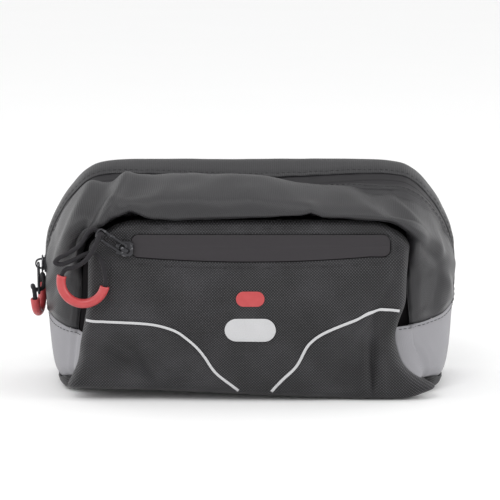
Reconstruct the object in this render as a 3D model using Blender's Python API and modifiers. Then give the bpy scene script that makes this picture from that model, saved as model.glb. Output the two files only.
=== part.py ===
"""Bicycle handlebar bag: a zipped fabric compartment with a front pocket, two cord zip pulls
and two rear straps. Metres, +Z up, front towards -Y, origin at the middle of the base."""

import math

import bmesh
import bpy
from mathutils import Matrix, Vector
from mathutils.bvhtree import BVHTree

MM = 0.001

# Main sizes
BODY_WIDTH = 225 * MM
BODY_HEIGHT = 120 * MM
BODY_DEPTH = 65 * MM
POCKET_WIDTH = 174 * MM
POCKET_HEIGHT = 98 * MM
POCKET_DEPTH = 17 * MM
BACK_Y = 41 * MM
CLOTH = 1.5 * MM
FILM = 1.0 * MM
GAP = 0.3 * MM
EDGE_STEP = 0.6 * MM
COLUMNS = 25

# Where the light corner panels start, as shares of the arch from its top (0) to its foot (1)
LEFT_PATCH = 0.790
RIGHT_PATCH = 0.768

# The fabric round the zip sags in the middle, and the front left foot stands off the floor
ZIP_SAG = 5.5 * MM
SAG_SPREAD = 62 * MM
FOOT_LIFT = 5.5 * MM

# Front pocket
POCKET_EDGE_RADIUS = 6 * MM
POCKET_BELLY = 3.5 * MM
FRONT_Y = BACK_Y - BODY_DEPTH - POCKET_DEPTH
RIM_Y = FRONT_Y + POCKET_EDGE_RADIUS
SLOT_LEFT = -63 * MM
SLOT_RIGHT = 74 * MM
SLOT_BOTTOM = 76.5 * MM
SLOT_TOP = 90 * MM
SLOT_RADIUS = 4 * MM
ZIP_RECESS = 0.4 * MM
STRIPE_WIDTH = 1.9 * MM
TRIM_THICKNESS = 0.6 * MM
TRIM_GAP = 0.45 * MM
MARK_Z = 39 * MM
MARK_WIDTH = 27 * MM
MARK_HEIGHT = 13 * MM
ACCENT_WIDTH = 15 * MM
ACCENT_HEIGHT = 8 * MM
MARK_SPACING = 17 * MM

# Zip pulls
SLIDER_LENGTH = 9 * MM
SLIDER_WIDTH = 8 * MM
SLIDER_THICKNESS = 2.6 * MM
LINK_LENGTH = 18 * MM
LINK_WIDTH = 6.2 * MM
LINK_WIRE = 1.5 * MM
CORD_DIAMETER = 2.4 * MM
GRIP_DIAMETER = 4.9 * MM
GRIP_BORE = 3.3 * MM
GRIP_RADIUS = 11.6 * MM
GRIP_START = 163
GRIP_END = 348
CORD_START = 264
CORD_END = 276
LUG_LENGTH = 3.6 * MM
LUG_WIDTH = 1.8 * MM
LUG_HEIGHT = 3.4 * MM
EYE_HEIGHT = SLIDER_THICKNESS + 1.8 * MM

# Rear straps, closed round a handlebar
STRAP_WIDTH = 25 * MM
STRAP_THICKNESS = 1.6 * MM
STRAP_SPACING = 100 * MM
BAR_DIAMETER = 31.8 * MM
BAR_CLEARANCE = 1.1 * MM
BAR_Z = 86 * MM
STRAP_TAB_BOTTOM = 52 * MM

# Outline of the bag from the front, from its foot up: height and half-width as shares of the
# full sizes, with the half-width of the back and of the squarer front
OUTLINE = [
    {"height": 0.000, "width": 0.880, "front": 0.962},
    {"height": 0.008, "width": 0.908, "front": 1.000},
    {"height": 0.030, "width": 0.930, "front": 1.020},
    {"height": 0.080, "width": 0.952, "front": 1.032},
    {"height": 0.140, "width": 0.970, "front": 1.038},
    {"height": 0.260, "width": 0.990, "front": 1.030},
    {"height": 0.400, "width": 1.000, "front": 1.015},
    {"height": 0.550, "width": 1.002, "front": 1.000},
    {"height": 0.680, "width": 0.990, "front": 0.995},
    {"height": 0.800, "width": 0.935, "front": 0.975},
    {"height": 0.890, "width": 0.870, "front": 0.925},
    {"height": 0.955, "width": 0.800, "front": 0.830},
    {"height": 0.988, "width": 0.715, "front": 0.700},
    {"height": 1.000, "width": 0.520, "front": 0.470},
    {"height": 1.000, "width": 0.000, "front": 0.000},
]

# Sections of the body from back to front: depth at the side and at the top as shares of the
# body depth, and how far the outline draws in
SECTIONS = [
    {"name": "back_seam", "side": 0.000, "top": 0.000, "width": 0.925, "height": 0.915},
    {"name": "back_flat", "side": 0.004, "top": 0.004, "width": 0.948, "height": 0.942},
    {"name": "back_round", "side": 0.050, "top": 0.055, "width": 0.985, "height": 0.980},
    {"name": "strip", "side": 0.200, "top": 0.200, "width": 1.000, "height": 1.000},
    {"name": "zip_rear", "side": 0.370, "top": 0.400, "width": 1.000, "height": 0.972},
    {"name": "zip_front", "side": 0.520, "top": 0.580, "width": 0.990, "height": 0.935},
    {"name": "crest", "side": 0.680, "top": 0.800, "width": 0.965, "height": 0.928},
    {"name": "brow", "side": 0.820, "top": 1.030, "width": 0.928, "height": 0.897},
    {"name": "shoulder", "side": 0.920, "top": 1.210, "width": 0.885, "height": 0.862},
    {"name": "lip", "side": 0.975, "top": 1.270, "width": 0.850, "height": 0.834},
    {"name": "tuck", "side": 0.992, "top": 1.150, "width": 0.825, "height": 0.825},
    {"name": "pocket_seam", "side": 1.000, "top": 1.000, "width": 0.808, "height": 0.820},
]

# Outline of the pocket from the front, as shares of its height and half-width
POCKET_OUTLINE = [
    {"height": 0.000, "left": 1.085, "right": 1.100},
    {"height": 0.008, "left": 1.115, "right": 1.130},
    {"height": 0.030, "left": 1.120, "right": 1.130},
    {"height": 0.080, "left": 1.095, "right": 1.065},
    {"height": 0.140, "left": 1.068, "right": 0.990},
    {"height": 0.200, "left": 1.052, "right": 0.935},
    {"height": 0.280, "left": 1.042, "right": 0.900},
    {"height": 0.350, "left": 1.030, "right": 0.888},
    {"height": 0.430, "left": 1.015, "right": 0.910},
    {"height": 0.540, "left": 0.995, "right": 0.950},
    {"height": 0.680, "left": 0.990, "right": 0.956},
    {"height": 0.780, "left": 0.985, "right": 0.966},
    {"height": 0.850, "left": 0.975, "right": 0.968},
    {"height": 0.910, "left": 0.915, "right": 0.925},
    {"height": 0.960, "left": 0.822, "right": 0.830},
]

# Height to which the base cloth turns up at the sides, from back to front, as a share of the
# body height. The row after pocket_seam is the pocket's own edge
TURN_UP = [
    {"at": "back_seam", "height": 0.048},
    {"at": "back_flat", "height": 0.048},
    {"at": "back_round", "height": 0.048},
    {"at": "strip", "height": 0.048},
    {"at": "zip_rear", "height": 0.048},
    {"at": "zip_front", "height": 0.048},
    {"at": "crest", "height": 0.048},
    {"at": "brow", "height": 0.048},
    {"at": "shoulder", "height": 0.049},
    {"at": "lip", "height": 0.050},
    {"at": "tuck", "height": 0.052},
    {"at": "pocket_seam", "height": 0.056},
    {"at": "pocket_edge", "height": 0.075},
]

# Folds and dents of the front panel: place and size in the front view as shares of the body
# width and height, angle in degrees from +X, and height of the fold as a share of the depth
BODY_FOLDS = [
    {"name": "left_mound", "x": -0.20, "z": 0.93, "angle": 0,
     "long": 0.26, "wide": 0.10, "rise": 0.060},
    {"name": "middle_mound", "x": 0.02, "z": 0.92, "angle": -4,
     "long": 0.20, "wide": 0.08, "rise": 0.050},
    {"name": "right_valley", "x": 0.34, "z": 0.88, "angle": -38,
     "long": 0.13, "wide": 0.05, "rise": -0.055},
    {"name": "right_slope", "x": 0.34, "z": 0.89, "angle": -30,
     "long": 0.15, "wide": 0.07, "rise": -0.050},
    {"name": "right_ridge", "x": 0.345, "z": 0.78, "angle": -40,
     "long": 0.16, "wide": 0.035, "rise": 0.045},
    {"name": "left_crease", "x": -0.375, "z": 0.80, "angle": 62,
     "long": 0.13, "wide": 0.025, "rise": -0.035},
    {"name": "left_ridge", "x": -0.345, "z": 0.78, "angle": 60,
     "long": 0.14, "wide": 0.025, "rise": 0.040},
    {"name": "left_outer_ridge", "x": -0.41, "z": 0.72, "angle": 66,
     "long": 0.14, "wide": 0.022, "rise": 0.030},
    {"name": "right_side_dent", "x": 0.43, "z": 0.46, "angle": 88,
     "long": 0.16, "wide": 0.022, "rise": -0.025},
]

# Folds and dents of the pocket, in the same form, with shares of the pocket's sizes
POCKET_FOLDS = [
    {"name": "left_foot_dent", "x": -0.34, "z": 0.17, "angle": -60,
     "long": 0.10, "wide": 0.04, "rise": -0.10},
    {"name": "left_foot_ridge", "x": -0.28, "z": 0.22, "angle": -35,
     "long": 0.14, "wide": 0.04, "rise": 0.07},
    {"name": "right_draw", "x": 0.40, "z": 0.34, "angle": 55,
     "long": 0.26, "wide": 0.04, "rise": -0.13},
    {"name": "right_ridge", "x": 0.33, "z": 0.40, "angle": 58,
     "long": 0.24, "wide": 0.05, "rise": 0.07},
    {"name": "right_foot_dent", "x": 0.30, "z": 0.10, "angle": 80,
     "long": 0.12, "wide": 0.05, "rise": -0.08},
    {"name": "zip_hollow", "x": 0.03, "z": 0.83, "angle": 0,
     "long": 0.50, "wide": 0.07, "rise": -0.06},
]

# Reflective stripes, as shares of the pocket's width and height, from the side to the foot
LEFT_STRIPE = [
    {"x": -0.497, "z": 0.443}, {"x": -0.457, "z": 0.440}, {"x": -0.393, "z": 0.437},
    {"x": -0.330, "z": 0.432}, {"x": -0.287, "z": 0.423}, {"x": -0.250, "z": 0.405},
    {"x": -0.220, "z": 0.381}, {"x": -0.190, "z": 0.338}, {"x": -0.162, "z": 0.288},
    {"x": -0.139, "z": 0.231}, {"x": -0.103, "z": 0.131}, {"x": -0.036, "z": 0.037},
]
RIGHT_STRIPE = [
    {"x": 0.452, "z": 0.500}, {"x": 0.420, "z": 0.508}, {"x": 0.390, "z": 0.508},
    {"x": 0.363, "z": 0.494}, {"x": 0.328, "z": 0.460}, {"x": 0.251, "z": 0.403},
    {"x": 0.214, "z": 0.370}, {"x": 0.189, "z": 0.336}, {"x": 0.170, "z": 0.294},
    {"x": 0.140, "z": 0.188}, {"x": 0.096, "z": 0.106}, {"x": 0.065, "z": 0.040},
]

COLOURS = {
    "coated_fabric": ((0.085, 0.082, 0.088), 0.45, 0.0),
    "ripstop": ((0.055, 0.053, 0.058), 0.75, 0.0),
    "corner_fabric": ((0.36, 0.36, 0.38), 0.65, 0.0),
    "zip_film": ((0.060, 0.055, 0.062), 0.50, 0.0),
    "black_webbing": ((0.020, 0.020, 0.022), 0.80, 0.0),
    "reflective": ((0.72, 0.72, 0.74), 0.40, 0.0),
    "red_rubber": ((0.62, 0.07, 0.07), 0.40, 0.0),
    "cord": ((0.025, 0.022, 0.025), 0.80, 0.0),
    "dark_metal": ((0.045, 0.045, 0.048), 0.35, 0.9),
}


def clear_scene():
    for item in list(bpy.data.objects):
        bpy.data.objects.remove(item)


def collection(name):
    made = bpy.data.collections.new(name)
    bpy.context.scene.collection.children.link(made)
    return made


def material(name):
    found = bpy.data.materials.get(name)
    if found:
        return found
    made = bpy.data.materials.new(name)
    made.use_nodes = True
    colour, roughness, metallic = COLOURS[name]
    shader = made.node_tree.nodes["Principled BSDF"]
    shader.inputs["Base Color"].default_value = (*colour, 1.0)
    shader.inputs["Roughness"].default_value = roughness
    shader.inputs["Metallic"].default_value = metallic
    made.diffuse_color = (*colour, 1.0)
    return made


# Curves through tables

def catmull(a, b, c, d, t):
    """Smooth value between b and c."""
    return 0.5 * (
        2 * b + (c - a) * t + (2 * a - 5 * b + 4 * c - d) * t * t + (3 * b - a - 3 * c + d) * t * t * t
    )


def through(values, position):
    """Smooth curve through a list of numbers, read at a fractional index."""
    last = len(values) - 1
    position = min(max(position, 0.0), float(last))
    i = min(int(position), last - 1)
    before = values[i - 1] if i > 0 else 2 * values[0] - values[1]
    after = values[i + 2] if i + 2 <= last else 2 * values[last] - values[last - 1]
    return catmull(before, values[i], values[i + 1], after, position - i)


def column(table, key):
    return [row[key] for row in table]


def smooth(low, high, value):
    t = min(max((value - low) / (high - low), 0.0), 1.0)
    return t * t * (3 - 2 * t)


def even_outline(table, steps=400):
    """Returns f(share) giving the fractional row at an even share of the outline's length,
    from the last row of the table (0) to its first row (1)."""
    widths, heights = column(table, "width"), column(table, "height")
    last = len(table) - 1
    points = [
        Vector((through(widths, last * (1 - i / steps)), through(heights, last * (1 - i / steps))))
        for i in range(steps + 1)
    ]
    along = [0.0]
    for first, second in zip(points, points[1:]):
        along.append(along[-1] + (second - first).length)

    def read(share):
        wanted = min(max(share, 0.0), 1.0) * along[-1]
        low, high = 0, steps
        while high - low > 1:
            middle = (low + high) // 2
            low, high = (middle, high) if along[middle] <= wanted else (low, middle)
        part = (wanted - along[low]) / (along[high] - along[low])
        return last * (1 - (low + part) / steps)

    return read


ARCH = even_outline(OUTLINE)
ARCH_LENGTH = sum(
    math.dist((a["width"] * BODY_WIDTH / 2, a["height"] * BODY_HEIGHT),
              (b["width"] * BODY_WIDTH / 2, b["height"] * BODY_HEIGHT))
    for a, b in zip(OUTLINE, OUTLINE[1:])
)
SECTION_INDEX = {row["name"]: i for i, row in enumerate(SECTIONS)}


def fold_height(folds, x, z):
    """Sum of the folds at a point given in shares of width and height."""
    total = 0.0
    for fold in folds:
        turn = math.radians(fold["angle"])
        dx = x - fold["x"]
        dz = (z - fold["z"]) * fold["aspect"]
        along = dx * math.cos(turn) + dz * math.sin(turn)
        across = dz * math.cos(turn) - dx * math.sin(turn)
        total += fold["rise"] * math.exp(-((along / fold["long"]) ** 2) - (across / fold["wide"]) ** 2)
    return total


for fold in BODY_FOLDS:
    fold["aspect"] = BODY_HEIGHT / BODY_WIDTH
for fold in POCKET_FOLDS:
    fold["aspect"] = POCKET_HEIGHT / POCKET_WIDTH


# Body surface: arch is -1 at the left foot, 0 at the top and 1 at the right foot;
# section is a fractional row of SECTIONS

def body_plain(arch, section):
    row = ARCH(abs(arch))
    back_width, front_width, height_share = (
        through(column(OUTLINE, key), row) for key in ("width", "front", "height")
    )
    forward = smooth(SECTION_INDEX["zip_rear"], SECTION_INDEX["lip"], section)
    width_share = back_width + (front_width - back_width) * forward
    top_part = smooth(0.62, 0.97, height_share)
    side, top = (through(column(SECTIONS, key), section) for key in ("side", "top"))
    depth = side + (top - side) * top_part
    half = BODY_WIDTH / 2 * width_share * through(column(SECTIONS, "width"), section)
    height = BODY_HEIGHT * height_share * through(column(SECTIONS, "height"), section)
    zip_middle = (SECTION_INDEX["zip_rear"] + SECTION_INDEX["zip_front"]) / 2
    sag = math.exp(-((half / SAG_SPREAD) ** 2) - (section - zip_middle) ** 2) * top_part
    height -= ZIP_SAG * sag
    return Vector((math.copysign(half, arch), BACK_Y - BODY_DEPTH * depth, height))


def body_point(arch, section):
    point = body_plain(arch, section)
    start, end = SECTION_INDEX["zip_front"], SECTION_INDEX["tuck"]
    if not start < section < end:
        return point
    step = 0.01
    along = body_plain(min(arch + step, 1), section) - body_plain(max(arch - step, -1), section)
    across = body_plain(arch, section + step) - body_plain(arch, section - step)
    outward = across.cross(along).normalized()
    fade = smooth(start, start + 0.6, section) * (1 - smooth(end - 2.2, end - 0.8, section))
    rise = fold_height(BODY_FOLDS, point.x / BODY_WIDTH, point.z / BODY_HEIGHT)
    return point + outward * (rise * BODY_DEPTH * fade)


def lifted(point):
    """The point after the front left foot and the front right corner have lifted off the floor."""
    sideways = 1 - smooth(-0.42 * BODY_WIDTH, 0.36 * BODY_WIDTH, point.x)
    sideways += smooth(0.36 * BODY_WIDTH, 0.46 * BODY_WIDTH, point.x)
    forward = 1 - smooth(RIM_Y, BACK_Y - 0.72 * BODY_DEPTH, point.y)
    low = 1 - smooth(0, 0.4 * BODY_HEIGHT, point.z)
    return point + Vector((0, 0, FOOT_LIFT * sideways * forward * low))


def build_grid(name, rows, colour, home, outward, thickness=CLOTH):
    """One object from a grid of points, thickened inwards. outward gives a vector that
    points away from the inside at a face's middle."""
    work = bmesh.new()
    grid = [[work.verts.new(lifted(point)) for point in row] for row in rows]
    for i in range(len(grid) - 1):
        for j in range(len(grid[0]) - 1):
            work.faces.new((grid[i][j], grid[i][j + 1], grid[i + 1][j + 1], grid[i + 1][j]))
    work.normal_update()
    facing = sum(
        face.normal.dot(outward(face.calc_center_median())) * face.calc_area() for face in work.faces
    )
    if facing < 0:
        bmesh.ops.reverse_faces(work, faces=work.faces)
    mesh = bpy.data.meshes.new(name)
    work.to_mesh(mesh)
    work.free()
    item = bpy.data.objects.new(name, mesh)
    home.objects.link(item)
    item.data.materials.append(material(colour))
    wall = item.modifiers.new("Wall", "SOLIDIFY")
    wall.thickness = thickness
    wall.offset = -1
    wall.use_even_offset = False
    mesh.shade_smooth()
    return item


def span(start, end, count):
    return [start + (end - start) * i / (count - 1) for i in range(count)]


def from_middle(point):
    return point - Vector((point.x * 0.5, 0, BODY_HEIGHT * 0.4))


# Rim of the pocket's front panel, and the side surface that runs on to it

SEAM = SECTION_INDEX["pocket_seam"]
RIM_CORNER = POCKET_OUTLINE[-1]["height"]
RIM_TOP = 0.988


def reading(table, key, by, value):
    """Value of one column of a table where another column, which rises, has this value."""
    known = column(table, by)
    low, high = 0.0, float(len(known) - 1)
    for _ in range(30):
        middle = (low + high) / 2
        low, high = (middle, high) if through(known, middle) <= value else (low, middle)
    return through(column(table, key), low)


CORNER_WIDTH = reading(OUTLINE[:-2], "front", "height", RIM_CORNER)


def rim_point(arch):
    row = ARCH(abs(arch))
    width_share, height_share = (through(column(OUTLINE, key), row) for key in ("front", "height"))
    side = "left" if arch < 0 else "right"
    if height_share < RIM_CORNER:
        share = reading(POCKET_OUTLINE, side, "height", height_share)
    else:
        share = POCKET_OUTLINE[-1][side] * width_share / CORNER_WIDTH
    half = POCKET_WIDTH / 2 * share
    return Vector((math.copysign(half, arch), RIM_Y, POCKET_HEIGHT * min(height_share, RIM_TOP)))


def side_point(arch, section):
    """Body side up to the pocket seam, then straight on to the rim of the pocket panel."""
    if section <= SEAM:
        return body_point(arch, section)
    return towards_rim(body_plain(arch, SEAM), rim_point(arch), section - SEAM)


def towards_rim(seam, rim, share):
    """Point between the seam and the rim on a wall that runs straight forward at both ends."""
    point = seam.lerp(rim, smooth(0, 1, share))
    point.y = seam.y + (rim.y - seam.y) * share
    return point


def turn_up_arch(side, section):
    """Share of the arch at which the base cloth's edge lies."""
    height = BODY_HEIGHT * through(column(TURN_UP, "height"), section)
    low, high = 0.5, 1.0
    for _ in range(30):
        middle = (low + high) / 2
        low, high = (middle, high) if side_point(side * middle, section).z > height else (low, middle)
    return low


def arch_share(length):
    """A length along the arch as a share of it."""
    return length / ARCH_LENGTH


def arch_span(start, end, count):
    """Shares of the arch with a narrow first and last step, so that neighbours meet squarely."""
    step = math.copysign(arch_share(EDGE_STEP), end - start)
    return [start] + span(start + step, end - step, count - 2) + [end]


def upper_arches(gap):
    """The shares of the arch between the two corner panels at which the pieces have points,
    closer together round the upper corners."""
    halves = []
    for side, top in ((-1, LEFT_PATCH), (1, RIGHT_PATCH)):
        end = top - arch_share(gap)
        spread = [t + 0.07 * math.sin(math.tau * t) for t in span(0, 1, COLUMNS // 2)]
        halves.append([side * (end - arch_share(EDGE_STEP)) * share for share in spread] + [side * end])
    return halves[0][:0:-1] + halves[1]


def lower_arches(side, section):
    top = (LEFT_PATCH if side < 0 else RIGHT_PATCH) + arch_share(GAP / 2)
    return arch_span(top, turn_up_arch(side, section) - arch_share(GAP / 2), 6)


def make_strip(name, first, last, inner, colour, home, thickness=CLOTH):
    """A band round the arch between two sections, down to the corner panels."""
    sections = [first, first + 0.06] + inner + [last - 0.06, last]
    arches = upper_arches(GAP / 2)
    rows = [[body_point(arch, section) for arch in arches] for section in sections]
    return build_grid(name, rows, colour, home, from_middle, thickness)


# Sections at which the corner panels and the base cloth have points
SIDE_SECTIONS = [
    0.0, 0.06, 0.8, 1.4, 2.5, 3.2, 4.0, 4.5, 5.0, 6.0, 7.0, 8.0, 9.0, 10.0, 11.0, 11.25, 11.5,
    11.75, 11.88, 11.94,
]
# The base cloth has a slanted strip at the back in place of the flat one, which would leave its
# floor with sliver faces.
BASE_SECTIONS = [0.3] + SIDE_SECTIONS[3:]


def make_patch(name, side, home):
    """Light corner panel, from its top edge down to the turned-up base cloth."""
    rows = []
    for section in SIDE_SECTIONS:
        rows.append([side_point(side * arch, section) for arch in lower_arches(side, section)])
    return build_grid(name, rows, "corner_fabric", home, from_middle)


def make_base(home):
    """Base cloth: flat underneath, turned up at both sides and highest at the front corners."""
    rows = []
    for section in BASE_SECTIONS:
        sides = []
        for side in (-1, 1):
            low = turn_up_arch(side, section) + arch_share(GAP / 2)
            arches = [low, low + arch_share(EDGE_STEP)] + span(0.974, 1.0, 3)
            sides.append([side_point(side * arch, section) for arch in arches])
        left, right = sides[0][-1], sides[1][-1]
        across = [left.lerp(right, share) for share in span(0.06, 0.94, 5)]
        rows.append(sides[0] + across + sides[1][::-1])
    item = build_grid("base_panel", rows, "ripstop", home, lambda p: Vector((p.x * 0.2, 0, -1)))
    item.modifiers.new("Triangles", "TRIANGULATE")
    return item


def ring_arches(section):
    """The shares of the arch at which the pieces round a section have their points."""
    left, right = (lower_arches(side, section) for side in (-1, 1))
    return [-arch for arch in reversed(left)] + upper_arches(GAP / 2) + right


def flat_panel(name, section, inset, y, facing, colour, home):
    """Flat sheet inside the ring of a section, standing on the base cloth. facing is the way
    its outer side looks."""
    ring = []
    for arch in ring_arches(section):
        rim = body_plain(arch, section)
        along = body_plain(min(arch + 0.01, 1), section) - body_plain(max(arch - 0.01, -1), section)
        inward = Vector((along.z, 0, -along.x)).normalized()
        point = rim + inward * inset
        ring.append(Vector((point.x, y, point.z)))
    foot = body_plain(1, section).x * 0.92
    ring = [Vector((-foot, y, CLOTH + GAP))] + ring + [Vector((foot, y, CLOTH + GAP))]
    work = bmesh.new()
    face = work.faces.new([work.verts.new(lifted(point)) for point in ring])
    face.normal_update()
    if face.normal.y * facing < 0:
        bmesh.ops.reverse_faces(work, faces=[face])
    mesh = bpy.data.meshes.new(name)
    work.to_mesh(mesh)
    work.free()
    item = bpy.data.objects.new(name, mesh)
    home.objects.link(item)
    mesh.materials.append(material(colour))
    wall = item.modifiers.new("Wall", "SOLIDIFY")
    wall.thickness = CLOTH
    wall.offset = -1
    return item


def panel_point(x, z):
    """Point of the pocket's front panel, rounded at its edges, with its belly and folds."""
    share = z / POCKET_HEIGHT
    half = panel_half(share, "left" if x < 0 else "right")
    top = POCKET_HEIGHT * RIM_TOP
    side_gap, end_gap = half - abs(x), min(z, top - z)
    round_off = 1.0
    for distance in (side_gap, end_gap):
        part = 1 - min(max(distance / POCKET_EDGE_RADIUS, 0.0), 1.0)
        round_off *= math.sqrt(max(1 - part * part, 0.0))
    u, v = x / half, (z / top - 0.45) / 0.55
    belly = POCKET_BELLY * max(1 - u * u, 0.0) * max(1 - v * v, 0.0)
    fade = smooth(0, 2.5 * POCKET_EDGE_RADIUS, side_gap) * smooth(0, 1.5 * POCKET_EDGE_RADIUS, end_gap)
    folds = fold_height(POCKET_FOLDS, x / POCKET_WIDTH, share) * POCKET_DEPTH * fade
    return Vector((x, RIM_Y - POCKET_EDGE_RADIUS * round_off - belly - folds, z))


def panel_half(height_share, side):
    """Half-width of the pocket panel at a share of its height."""
    if height_share < RIM_CORNER:
        share = reading(POCKET_OUTLINE, side, "height", height_share)
    else:
        width = reading(OUTLINE[:-1], "front", "height", height_share)
        share = POCKET_OUTLINE[-1][side] * width / CORNER_WIDTH
    return POCKET_WIDTH / 2 * share


def make_pocket_panel(home, cutters):
    top = POCKET_HEIGHT * RIM_TOP
    near = [0, 0.3 * MM, 1.4 * MM, 3.6 * MM, POCKET_EDGE_RADIUS + MM]
    heights = near + span(12 * MM, top - 12 * MM, 9) + [top - step for step in reversed(near)]
    rows = []
    for z in heights:
        left, right = (panel_half(z / POCKET_HEIGHT, side) for side in ("left", "right"))
        middle = span(13 * MM - left, right - 13 * MM, 12)
        xs = [step - left for step in near] + middle + [right - step for step in reversed(near)]
        rows.append([panel_point(x, z) for x in xs])
    item = build_grid("pocket_panel", rows, "ripstop", home, lambda p: Vector((p.x * 0.3, -1, 0)))
    cut = slot_block("pocket_slot_cutter", 0.0, cutters)
    boolean(item, cut, "DIFFERENCE")
    return item


def slot_outline(inset, arc_steps=4):
    """Corner points of the zip's slot as (x, z), going round."""
    radius = SLOT_RADIUS - inset
    points = []
    corners = (
        (SLOT_RIGHT, SLOT_BOTTOM, -90), (SLOT_RIGHT, SLOT_TOP, 0),
        (SLOT_LEFT, SLOT_TOP, 90), (SLOT_LEFT, SLOT_BOTTOM, 180),
    )
    for x, z, start in corners:
        cx = x - math.copysign(SLOT_RADIUS, x)
        cz = z + (SLOT_RADIUS if z == SLOT_BOTTOM else -SLOT_RADIUS)
        for angle in span(start, start + 90, arc_steps + 1):
            turn = math.radians(angle)
            points.append((cx + radius * math.cos(turn), cz + radius * math.sin(turn)))
    return points


def slot_block(name, inset, cutters):
    work = bmesh.new()
    ring = [work.verts.new((x, FRONT_Y - POCKET_DEPTH, z)) for x, z in slot_outline(inset)]
    face = work.faces.new(ring)
    deep = bmesh.ops.extrude_face_region(work, geom=[face])["geom"]
    moved = [item for item in deep if isinstance(item, bmesh.types.BMVert)]
    bmesh.ops.translate(work, verts=moved, vec=Vector((0, 1.6 * POCKET_DEPTH, 0)))
    bmesh.ops.recalc_face_normals(work, faces=work.faces)
    return mesh_object(name, work, None, cutters, hidden=True)


def mesh_object(name, work, colour, home, hidden=False):
    mesh = bpy.data.meshes.new(name)
    work.to_mesh(mesh)
    work.free()
    item = bpy.data.objects.new(name, mesh)
    home.objects.link(item)
    if colour:
        mesh.materials.append(material(colour))
    if hidden:
        item.hide_render = True
        item.display_type = "WIRE"
    return item


def boolean(item, other, operation):
    step = item.modifiers.new(operation.title(), "BOOLEAN")
    step.operation = operation
    step.solver = "EXACT"
    step.object = other


def make_pocket_zip(home):
    """Zip film set a little behind the slot, with rounded ends."""
    inset = GAP
    left, right = SLOT_LEFT + inset, SLOT_RIGHT - inset
    radius = SLOT_RADIUS - inset
    middle_z = (SLOT_TOP + SLOT_BOTTOM) / 2
    half_z = (SLOT_TOP - SLOT_BOTTOM) / 2 - inset
    near = [radius * (1 - math.cos(math.radians(angle))) for angle in (0, 30, 60, 90)]
    xs = [left + step for step in near] + span(left + 14 * MM, right - 14 * MM, 10)
    xs += [right - step for step in reversed(near)]
    rows = []
    for share in (-1, -0.92, -0.3, 0.3, 0.92, 1):
        rows.append([])
        for x in xs:
            part = 1 - min(min(x - left, right - x) / radius, 1.0)
            reach = half_z - radius * (1 - math.sqrt(max(1 - part * part, 0.0)))
            z = middle_z + share * reach
            rows[-1].append(panel_point(x, z) + Vector((0, ZIP_RECESS, 0)))
    return build_grid("pocket_zip", rows, "zip_film", home, lambda p: Vector((0, -1, 0)), FILM)


def make_pocket_gusset(home):
    """Recessed side wall between the body's front seam and the rim of the pocket panel."""
    rows = []
    for share in (0.0, 0.08, 0.35, 0.65, 0.9, 0.96):
        rows.append([])
        for arch in upper_arches(GAP * 2):
            seam = body_plain(arch, SEAM)
            seam = Vector((seam.x * (1 - GAP / abs(body_plain(0.6, SEAM).x)), seam.y, seam.z - GAP))
            rows[-1].append(towards_rim(seam, rim_point(arch), share))
    return build_grid("pocket_gusset", rows, "coated_fabric", home, lambda p: Vector((p.x, 0, p.z)))


# Trim laid on the pocket panel

def panel_normal(x, z):
    step = 0.5 * MM
    across = panel_point(x + step, z) - panel_point(x - step, z)
    up = panel_point(x, z + step) - panel_point(x, z - step)
    return across.cross(up).normalized()


def lay_ribbon(name, centre, widths, colour, home):
    """Thin strip that follows the pocket panel at the usual gap. centre holds (x, z) points
    and widths the strip's width at each."""
    rows = []
    for i, (x, z) in enumerate(centre):
        before = Vector(centre[max(i - 1, 0)])
        after = Vector(centre[min(i + 1, len(centre) - 1)])
        along = (after - before).normalized()
        side = Vector((-along.y, along.x)) * widths[i] / 2
        rows.append([])
        for share in (-1, 0, 1):
            px, pz = x + side.x * share, z + side.y * share
            rows[-1].append(panel_point(px, pz) + panel_normal(px, pz) * (TRIM_GAP + TRIM_THICKNESS))
    return build_grid(name, rows, colour, home, lambda p: Vector((0, -1, 0)), TRIM_THICKNESS)


def make_stripe(name, table, home):
    count = 2 * (len(table) - 1) + 1
    positions = span(0, len(table) - 1, count)
    centre = [
        (through(column(table, "x"), p) * POCKET_WIDTH, through(column(table, "z"), p) * POCKET_HEIGHT)
        for p in positions
    ]
    return lay_ribbon(name, centre, [STRIPE_WIDTH] * count, "reflective", home)


def make_bar(name, z, width, height, colour, home):
    """Round-ended bar in the middle of the pocket."""
    radius = height / 2
    ends = [radius * (1 - math.cos(math.radians(angle))) for angle in (12, 35, 60, 90)]
    xs = [-width / 2 + step for step in ends] + [0] + [width / 2 - step for step in reversed(ends)]
    widths = []
    for x in xs:
        part = max(abs(x) - (width / 2 - radius), 0.0)
        widths.append(2 * math.sqrt(radius * radius - part * part))
    return lay_ribbon(name, [(x, z) for x in xs], widths, colour, home)


# Tubes, sliders and cords

def tube(name, points, diameter, colour, home, sides=2, closed=False, caps=True):
    """Mesh tube along a list of points."""
    curve = bpy.data.curves.new(name + "_path", "CURVE")
    curve.dimensions = "3D"
    curve.bevel_depth = diameter / 2
    curve.bevel_resolution = sides
    curve.use_fill_caps = caps
    line = curve.splines.new("POLY")
    line.points.add(len(points) - 1)
    for dot, point in zip(line.points, points):
        dot.co = (*point, 1)
    line.use_cyclic_u = closed
    draft = bpy.data.objects.new(name + "_path", curve)
    home.objects.link(draft)
    view = bpy.context.evaluated_depsgraph_get()
    mesh = bpy.data.meshes.new_from_object(draft.evaluated_get(view))
    bpy.data.objects.remove(draft)
    work = bmesh.new()
    work.from_mesh(mesh)
    bmesh.ops.remove_doubles(work, verts=work.verts, dist=0.00002)
    bmesh.ops.recalc_face_normals(work, faces=work.faces)
    work.to_mesh(mesh)
    work.free()
    mesh.name = name
    item = bpy.data.objects.new(name, mesh)
    home.objects.link(item)
    mesh.materials.clear()
    mesh.materials.append(material(colour))
    mesh.shade_smooth()
    return item


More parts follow.
